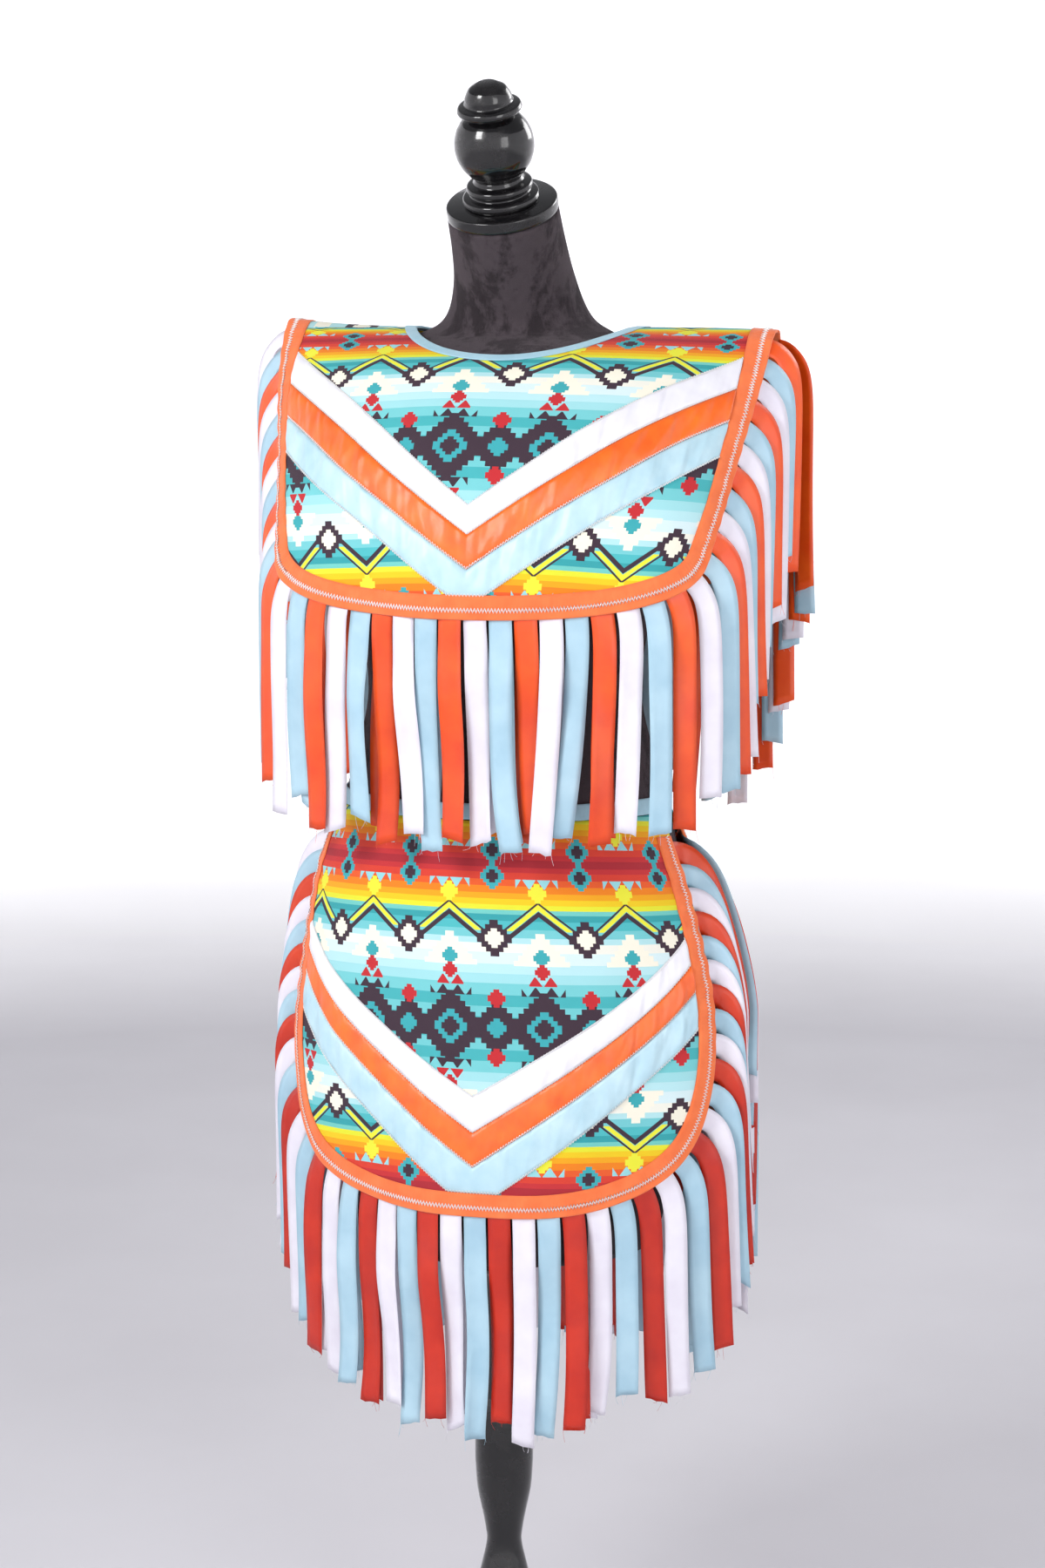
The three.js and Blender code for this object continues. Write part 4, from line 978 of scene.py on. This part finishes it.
def fringe(name, panel, start, sides, first, seed):
    """Ribbons sewn behind the binding. Each leaves the edge straight out, then turns down: its
    angle from straight down falls off as exp(-(gone / bend)^1.3), while its width turns from
    the edge's direction to the way it hangs. It sways, twists and curls a little of its own,
    and ends in a raw cut. Some have a second ribbon behind them."""
    rng = np.random.default_rng(seed)
    u, t, along, inward, pick, behind = strand_places(panel, start, rng)
    shade = (pick + first) % 3
    n = len(pick)
    out = -inward
    sideways = np.hypot(out[:, 0], out[:, 1])[:, None]
    side = np.sign(u)[:, None]
    du, _ = panel.slopes(u, t)
    level = du * [1, 1, 0]
    straight = np.array([-panel.facing, 0.0, 0.0])
    level = unit(unit(level) * (1 - sides["turn"]) + straight * sides["turn"])
    hang = unit(along * [1, 1, 0] + level * np.abs(along[:, 2:]))
    to_body = np.stack([-level[:, 1], level[:, 0], 0 * level[:, 0]], -1)
    side_way = straight * side
    first_angle = np.arctan2(sideways[:, 0], -out[:, 2])
    outward_way = unit(out * [1, 1, 0])
    steps = 36
    uneven = rng.normal(0, 5, n) * (1 + 1.6 * sideways[:, 0])
    length = RIBBON_LENGTH + 5 * np.sin(3.7 * pick + 1) + uneven - 8 * behind
    gone = np.linspace(0, 1, steps)[None] ** 1.35 * length[:, None]
    step = np.diff(gone, axis=1)[..., None]

    row = pick[:, None] * 1.0
    bend = sides["bend"] * (1.08 + 0.16 * sideways * ripple(row, 0, seed + 1, 4, 9.0, 18.0))

    def tangent_at(g):
        fall = np.exp(-((g / bend) ** 1.3))
        angle = first_angle[:, None] * fall
        turn = sides["turn"] * smooth(g, 0, 20)[..., None]
        way = unit(outward_way[:, None] * (1 - turn) + side_way[:, None] * turn)
        tangent = way * np.sin(angle)[..., None]
        tangent[..., 2] -= np.cos(angle)
        return tangent

    middle = tangent_at((gone[:, 1:] + gone[:, :-1]) / 2)
    under = -(CLOTH / 2 + 1.6 + 0.5 * behind)
    head = panel.lay(u, t, under)
    centre = head[:, None] + np.concatenate(
        [np.zeros((n, 1, 3)), np.cumsum(middle * step, 1)], 1)
    tangent = tangent_at(gone)
    across = along[:, None] + (hang - along)[:, None] * smooth(
        gone, 0, 1.6 * sides["bend"])[..., None]
    across = unit(across - tangent * dot(across, tangent))
    face = unit(np.cross(tangent, across))
    drop = np.maximum(head[:, None, 2] - centre[..., 2], 0)
    centre = centre + to_body[:, None] * (sideways * (
        sides["step"] * smooth(gone, 0, 20) + sides["tuck"] * drop))[..., None]
    if sides["follow"]:
        follow_edge(panel, centre, head, side, sideways * sides["follow"])
    # each ribbon's own way of hanging
    free = (1 - sideways)
    part = gone / RIBBON_LENGTH
    lean = (12.0 * ripple(row, 0, seed, 6, 3.0, 10.0) + rng.normal(0, 4.0, (n, 1))
            + 7.0 * np.sign(rng.normal(0, 1, (n, 1))) * behind[:, None]) * free
    lean = lean + rng.normal(0, 2.0, (n, 1))
    bow = rng.normal(0, 4.0, (n, 1)) * (0.3 + 0.7 * free)
    layer = np.where(pick % 2 == 0, 3.3, -3.3) - behind * np.where(pick % 2 == 0, 10.6, 7.0)
    depth = layer[:, None] * free + rng.uniform(-0.5, 0.5, (n, 1))
    sway = lean * part ** 1.4 + bow * np.sin(math.pi * np.clip(part, 0, 1)) * part
    centre = centre + across * sway[..., None] + face * (
        depth * smooth(gone, 0, 80)
        + (2.9 * free ** 2 + 0.2) * np.sin(part * 7 + 0.33 * row)
        * smooth(gone, 20, 90))[..., None]
    drift = sideways * part ** 2 * (3.0 + 5.0 * ripple(row, 0, seed + 3, 4, 9.0, 18.0))
    centre = centre + side_way[:, None] * drift[..., None]
    own = rng.normal(0, 1, (2, n, 1)) * (0.08 + 0.92 * free)
    twist = ((12 * own[0] + 7 * sideways * ripple(row, 0, seed + 2, 4, 8.0, 16.0))
             * part ** 1.2 + 9 * own[1] * np.sin(part * 5 + rng.uniform(0, 6, (n, 1))))
    twist = np.radians(twist) * smooth(gone, 8, 60)
    cos, sin = np.cos(twist)[..., None], np.sin(twist)[..., None]
    across, face = across * cos + face * sin, face * cos - across * sin
    columns = 5
    c = np.linspace(-1, 1, columns)
    curl = (rng.normal(0, 1.5, (n, 1)) * smooth(gone, 10, 70) + 0.7 * np.sin(
        part * 9 + rng.uniform(0, 6, (n, 1)))) * (0.15 + 0.85 * free)
    half = RIBBON_WIDTH / 2
    # raw ends: a slanted cut with a slightly ragged line
    slant = rng.normal(0, 2.4, (n, 1, 1)) * c
    ragged = rng.normal(0, 0.5, (n, 1, columns)) + slant
    ragged = ragged * smooth(gone, length[:, None] - 26, length[:, None])[..., None]
    surface = (centre[:, :, None] + across[:, :, None] * (c * half)[:, None]
               + face[:, :, None] * (curl[..., None] * (1 - c * c))[..., None]
               + tangent[:, :, None] * ragged[..., None])
    normal = face[:, :, None] + across[:, :, None] * (
        curl[..., None] * 2 * c / half)[..., None]
    normal = unit(normal) * 0.16
    piece = ribbon_strips(name, surface, normal, gone, shade)
    return piece, frayed_ends(f"{name}_frays", surface[:, -1], tangent[:, -1], shade, rng)


def frayed_ends(name, ends, tangent, shade, rng):
    """Loose yarns at the cut ends: short bowed threads that go on the way the ribbon hangs."""
    n, columns = ends.shape[:2]
    per, joints, sides = 3, 4, 4
    where = rng.integers(0, columns, (n, per))
    root = np.take_along_axis(ends, where[..., None], 1)
    length = rng.uniform(3, 9, (n, per, 1, 1))
    s = np.linspace(0, 1, joints)[:, None]
    drift = rng.normal(0, 0.35, (n, per, 1, 3))
    path = (root[:, :, None] - tangent[:, None, None] * 1.2 * (1 - s)
            + tangent[:, None, None] * length * s + drift * length * s * s)
    points, faces = thread(path.reshape(-1, joints, 3), 0.12)
    uv = np.repeat(shade, per * joints * sides) + 0.5
    return new_mesh(name, points, faces, FRINGE, np.stack([uv, 0 * uv], -1))


# ---------------------------------------------------------------- garments

def cape_relief(seed):
    """Folds of the cape: soft waves that fall from the shoulders and open towards the hem,
    and puckers beside the binding."""
    wide, tall = 220.0, 290.0      # about how far the cloth goes to a side and to its hem

    def relief(u, t):
        fall = smooth(t, 0.15, 0.95)
        waves = fall * (2.6 * np.sin(u * 7.3 + 0.6 * seed + 1.2 * t)
                        + 1.5 * np.sin(u * 13.1 + seed + 2.0 * t))
        cloudy = 1.5 * ripple(u * wide, t * tall, seed, 8, 45.0, 190.0) * (0.35 + 0.65 * fall)
        side = np.exp(-((1 - np.abs(u)) * wide / 26) ** 2)
        pucker = 0.5 * side * np.sin(t * tall / 17 * 2 * math.pi + 3 * u)
        held = smooth(np.abs(1 - np.abs(u)), 0, 0.06)
        return (waves + cloudy) * held * smooth(t, 0.02, 0.2) + pucker
    return relief


def apron_relief(seed):
    """Folds of the apron: it hangs from the waist in shallow waves, with short drag puckers
    just under the waist and beside the binding."""
    wide = 250.0                   # about how far the cloth goes from its middle to a side

    def relief(u, t):
        fall = smooth(t, 0.05, 0.7)
        waves = fall * (1.6 * np.sin(u * 6.1 + seed) + 1.0 * np.sin(u * 12.4 + 2 * seed + 2 * t))
        cloudy = ripple(u * wide, t * APRON_DROP, seed + 3, 8, 40.0, 170.0) * (0.4 + 0.6 * fall)
        side = np.exp(-((1 - np.abs(u)) * wide / 34) ** 2)
        pucker = 0.8 * side * smooth(t, 0.08, 0.2) * (1 - smooth(t, 0.4, 0.7)) * np.sin(
            t * APRON_DROP / 21 * 2 * math.pi + 4 * np.abs(u))
        return (waves + cloudy) * smooth(t, 0.03, 0.2) + pucker
    return relief


def dress_panel(prefix, panel, first, seed, flat, cotton, bands, sides, starts, grid, held,
                rests_on):
    """A panel with all that is sewn to it."""
    seam, ribbons = starts
    piece, area = cloth(f"{prefix}_cloth", panel, cotton, *grid)
    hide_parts(prefix)
    u, t, _, inward, total = panel.edge(seam, 440)
    tape_piece = folded_tape(f"{prefix}_bias_tape", panel, (u, t, inward),
                             BINDING_WIDTH, ORANGE_TAPE, seed)
    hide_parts(f"{prefix}_binding")
    run = np.linspace(0, total, 440)
    stitch = zigzag(f"{prefix}_edge_stitch", panel, u, t, inward, run, centre=7.6,
                    reach=4.6, pitch=3.1, out=CLOTH / 2 + 1.6, radius=0.46)
    extras = [tape_piece, stitch]
    nodes = dict(white="white", orange="orange", light_blue="blue")
    for k, (label, band) in enumerate(bands.items()):
        lines = (("top", 0), ("low", -1)) if k == 0 else (("low", -1),)
        ribbon, seams = chevron(f"{prefix}_{label}_ribbon", panel, band, SATINS[label],
                                CLOTH / 2 + 0.1, seed + 5 * k, lines)
        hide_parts(f"{prefix}_chevron_{nodes[label]}")
        extras += [ribbon, *seams]
    strands, frays = fringe(f"{prefix}_ribbons", panel, ribbons, sides, first, seed)
    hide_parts(f"{prefix}_fringe")
    extras += [strands, frays]
    sizes[prefix] = round(area, 4)
    return piece


def cape_panels():
    shared = dict(side_end=0.8, corner=3.0,
                  place=lambda t: (CAPE_SHIFT, CAPE_DROOP * np.maximum(0, 1 - 1.5 * t) ** 2))
    return (Panel(CAPE_FRONT, -1, neck=(0.4, 0.26), relief=cape_relief(2), **shared),
            Panel(CAPE_BACK, 1, neck=(0.4, 0.22), relief=cape_relief(5), **shared))


def apron_levels(facing, rows):
    """The waist's own section just outside the torso, then the table's rows."""
    half = float(column(TORSO, "z", "half", WAIST_Z))
    front = float(column(TORSO, "z", "front", WAIST_Z))
    back = float(column(TORSO, "z", "back", WAIST_Z))
    centre, depth, out = (front + back) / 2, (back - front) / 2, 1.4
    bow = math.radians(WAIST_BOW)
    first = dict(t=0, half=(half + out) * math.sin(bow), midY=centre + facing * (depth + out),
                 edgeY=centre + facing * (depth + out) * math.cos(bow), bow=WAIST_BOW)
    table = {k: [first[k], *rows[k]] for k in ("t", "half", "midY", "edgeY", "bow")}
    heights = [WAIST_Z - APRON_DROP * t for t in table["t"]]
    return dict(table, midZ=heights, edgeZ=heights)


def apron_panels():
    def place(t):
        return APRON_SHIFT * smooth(t, 0.04, 0.5), 0.0 * t
    shared = dict(side_end=0.52, corner=2.9, place=place, neck=None)
    return (Panel(apron_levels(-1, APRON_FRONT), -1, relief=apron_relief(1), **shared),
            Panel(apron_levels(1, APRON_BACK), 1, relief=apron_relief(4), **shared))


def neck_binding(front, back):
    """Light-blue tape folded over the neckline, round the front curve and the back one."""
    legs = np.linspace(1, 0.02, 6) * NECK_BINDING_WIDTH
    parts = []
    for panel, count in ((front, 150), (back, 140)):
        wide, dip = panel.neck
        a = np.linspace(math.pi / 2, -math.pi / 2, count, endpoint=False)
        u, t = wide * np.sin(a), dip * np.cos(a)
        _, inward = panel.frame(u, t)
        seam = smooth(np.abs(a), math.pi / 2 - 0.25, math.pi / 2)[:, None]
        sideways = unit(panel.slopes(u, 0 * t)[0]) * np.sign(u)[:, None]
        inward = unit(inward * (1 - seam) + sideways * seam)
        outer, inner = (fold_over(panel, u, t, inward, legs, [off] * 6, off, 7)
                        for off in (1.4, 0.7))
        parts.append(np.concatenate([outer, inner[:, ::-1]], 1))
    rings = np.concatenate(parts)
    n, around = rings.shape[:2]
    uv = np.stack(np.meshgrid(np.arange(around) * 0.002, np.arange(n) * 0.003), -1)
    piece = outward(sleeve("neck_bias_tape", rings, BLUE_TAPE, uv, closed=True))
    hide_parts("cape_neck_binding")
    return piece


def waist_tape():
    """A flat tape round the waist, 1.5 mm thick, a little uneven along its edges."""
    angles = 2 * math.pi * np.arange(360) / 360
    low, high = WAIST_Z + 0.6, WAIST_Z + 0.3 + WAISTBAND
    rows = np.linspace(0, 1, 9)
    wobble = ripple(angles * 150, 0, 9, 7, 30.0, 160.0)

    def layer(out):
        rings = []
        for f in rows:
            z = low + (high - low) * f
            swell = 0.35 * wobble * (2 * f - 1) + 0.4 * (1 - 4 * (f - 0.5) ** 2)
            ring = torso_ring(z, out + swell, angles)
            ring[:, 2] += 0.5 * wobble
            rings.append(ring)
        return np.stack(rings, 1)

    rings = np.concatenate([layer(2.2), layer(1.0)[:, ::-1]], 1)
    n, around = rings.shape[:2]
    uv = np.stack(np.meshgrid(np.arange(around) * 0.002, np.arange(n) * 0.0025), -1)
    piece = outward(sleeve("waist_tape", rings, BLUE_TAPE, uv, closed=True))
    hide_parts("apron_waistband")
    return piece


sizes = {}


def garments():
    cape = dict(cotton=CAPE_PRINT, bands=CAPE_BANDS, sides=CAPE_SIDES, starts=(0.006, 0.08),
                grid=(141, 105, (0.8, 0)), held="draped", rests_on=["torso_velvet"])
    apron = dict(cotton=APRON_PRINT, bands=APRON_BANDS, sides=APRON_SIDES, starts=(0.06, 0.07),
                 grid=(141, 109, (0, 15)), held="hung", rests_on=["waist_tape"])
    front, back = cape_panels()
    dress_panel("cape_front", front, 1, 11, (0.50, 0.385), **cape)
    dress_panel("cape_back", back, 0, 23, (0.48, 0.315), **cape)
    neck_binding(front, back)
    front, back = apron_panels()
    dress_panel("apron_front", front, 1, 31, (0.475, 0.37), **apron)
    dress_panel("apron_back", back, 2, 43, (0.49, 0.375), **apron)
    waist_tape()


# ---------------------------------------------------------------- studio

def aimed(name, data, place, target):
    """Puts a camera or a light at a place, turned towards the target."""
    piece = bpy.data.objects.new(name, data)
    bpy.context.scene.collection.objects.link(piece)
    piece.location = place
    piece.rotation_euler = (Vector(target) - Vector(place)).to_track_quat("-Z", "Y").to_euler()
    return piece


def camera():
    """Looks level with the cape, from a little round to the garment's left."""
    a = math.radians(VIEW["turn"])
    aside = np.array([math.cos(a), math.sin(a), 0]) * VIEW["aside"]
    towards = np.array([math.sin(a), -math.cos(a), 0])
    data = bpy.data.cameras.new("camera")
    data.sensor_fit = "AUTO"
    data.sensor_width = 36
    data.lens = 18 / math.tan(math.radians(VIEW["angle"] / 2))
    data.clip_end = 60
    bpy.context.scene.camera = aimed("camera", data,
                                     towards * VIEW["away"] + aside + [0, 0, VIEW["height"]],
                                     aside + [0, 0, VIEW["aim"]])


def soft_light(name, place, target, size, power):
    data = bpy.data.lights.new(name, "AREA")
    data.shape = "RECTANGLE"
    data.size, data.size_y = size
    data.energy = power
    aimed(name, data, place, target)


def studio():
    """A pale round floor that sweeps up into a wall nine metres away all round, brighter from
    three metres out, an even sky and three large soft lights."""
    f = Finish("pale_sweep", Roughness=0.9, Emission_Strength=0.62)
    p = f.place()
    away = f.node("ShaderNodeVectorMath", dict(operation="LENGTH"), {0: p}, "Value")
    glow = away.ramp(3.1, 5.2)
    f.feed(Base_Color=f.mix(colour(206, 204, 209), colour(226, 225, 230), f.noise(p, 1.6, 4.0)),
           Emission_Color=f.mix((0, 0, 0, 1), (1, 1, 1, 1), glow))
    bend = np.radians(np.linspace(0, 90, 13))
    profile = np.stack([np.concatenate([[0.01], 8 + np.sin(bend), [9]]),
                        np.concatenate([[0], 1 - np.cos(bend), [6]])], -1)
    turn = 2 * math.pi * np.arange(96)[:, None] / 96
    points = np.stack([profile[:, 0] * np.cos(turn), profile[:, 0] * np.sin(turn),
                       profile[:, 1] + 0 * turn], -1).reshape(-1, 3)
    faces = grid_faces(96, len(profile), closed_rows=True)[:, ::-1].tolist()
    middle = (np.arange(96) * len(profile)).tolist()
    mesh = bpy.data.meshes.new("sweep")
    mesh.from_pydata(points.tolist(), [], faces + [middle])
    mesh.materials.append(f.material)
    mesh.polygons.foreach_set("use_smooth", np.full(len(mesh.polygons), True))
    sweep = bpy.data.objects.new("sweep", mesh)
    bpy.context.scene.collection.objects.link(sweep)
    world = bpy.data.worlds.new("sky")
    world.use_nodes = True
    world.node_tree.nodes["Background"].inputs[0].default_value = (0.94, 0.95, 1.0, 1)
    world.node_tree.nodes["Background"].inputs[1].default_value = 0.3
    bpy.context.scene.world = world
    soft_light("key", (-1.5, -2.6, 2.7), (0, 0, 1.05), (1.0, 1.0), 64)
    soft_light("fill", (2.4, -2.4, 1.7), (0, 0, 1.0), (1.2, 1.6), 22)
    soft_light("rim", (1.6, 2.2, 2.5), (0, 0, 1.1), (1.2, 1.2), 26)
    bpy.context.scene.view_settings.view_transform = "Standard"


camera()
dress_form()
garments()
studio()
print("flat areas", json.dumps(sizes))
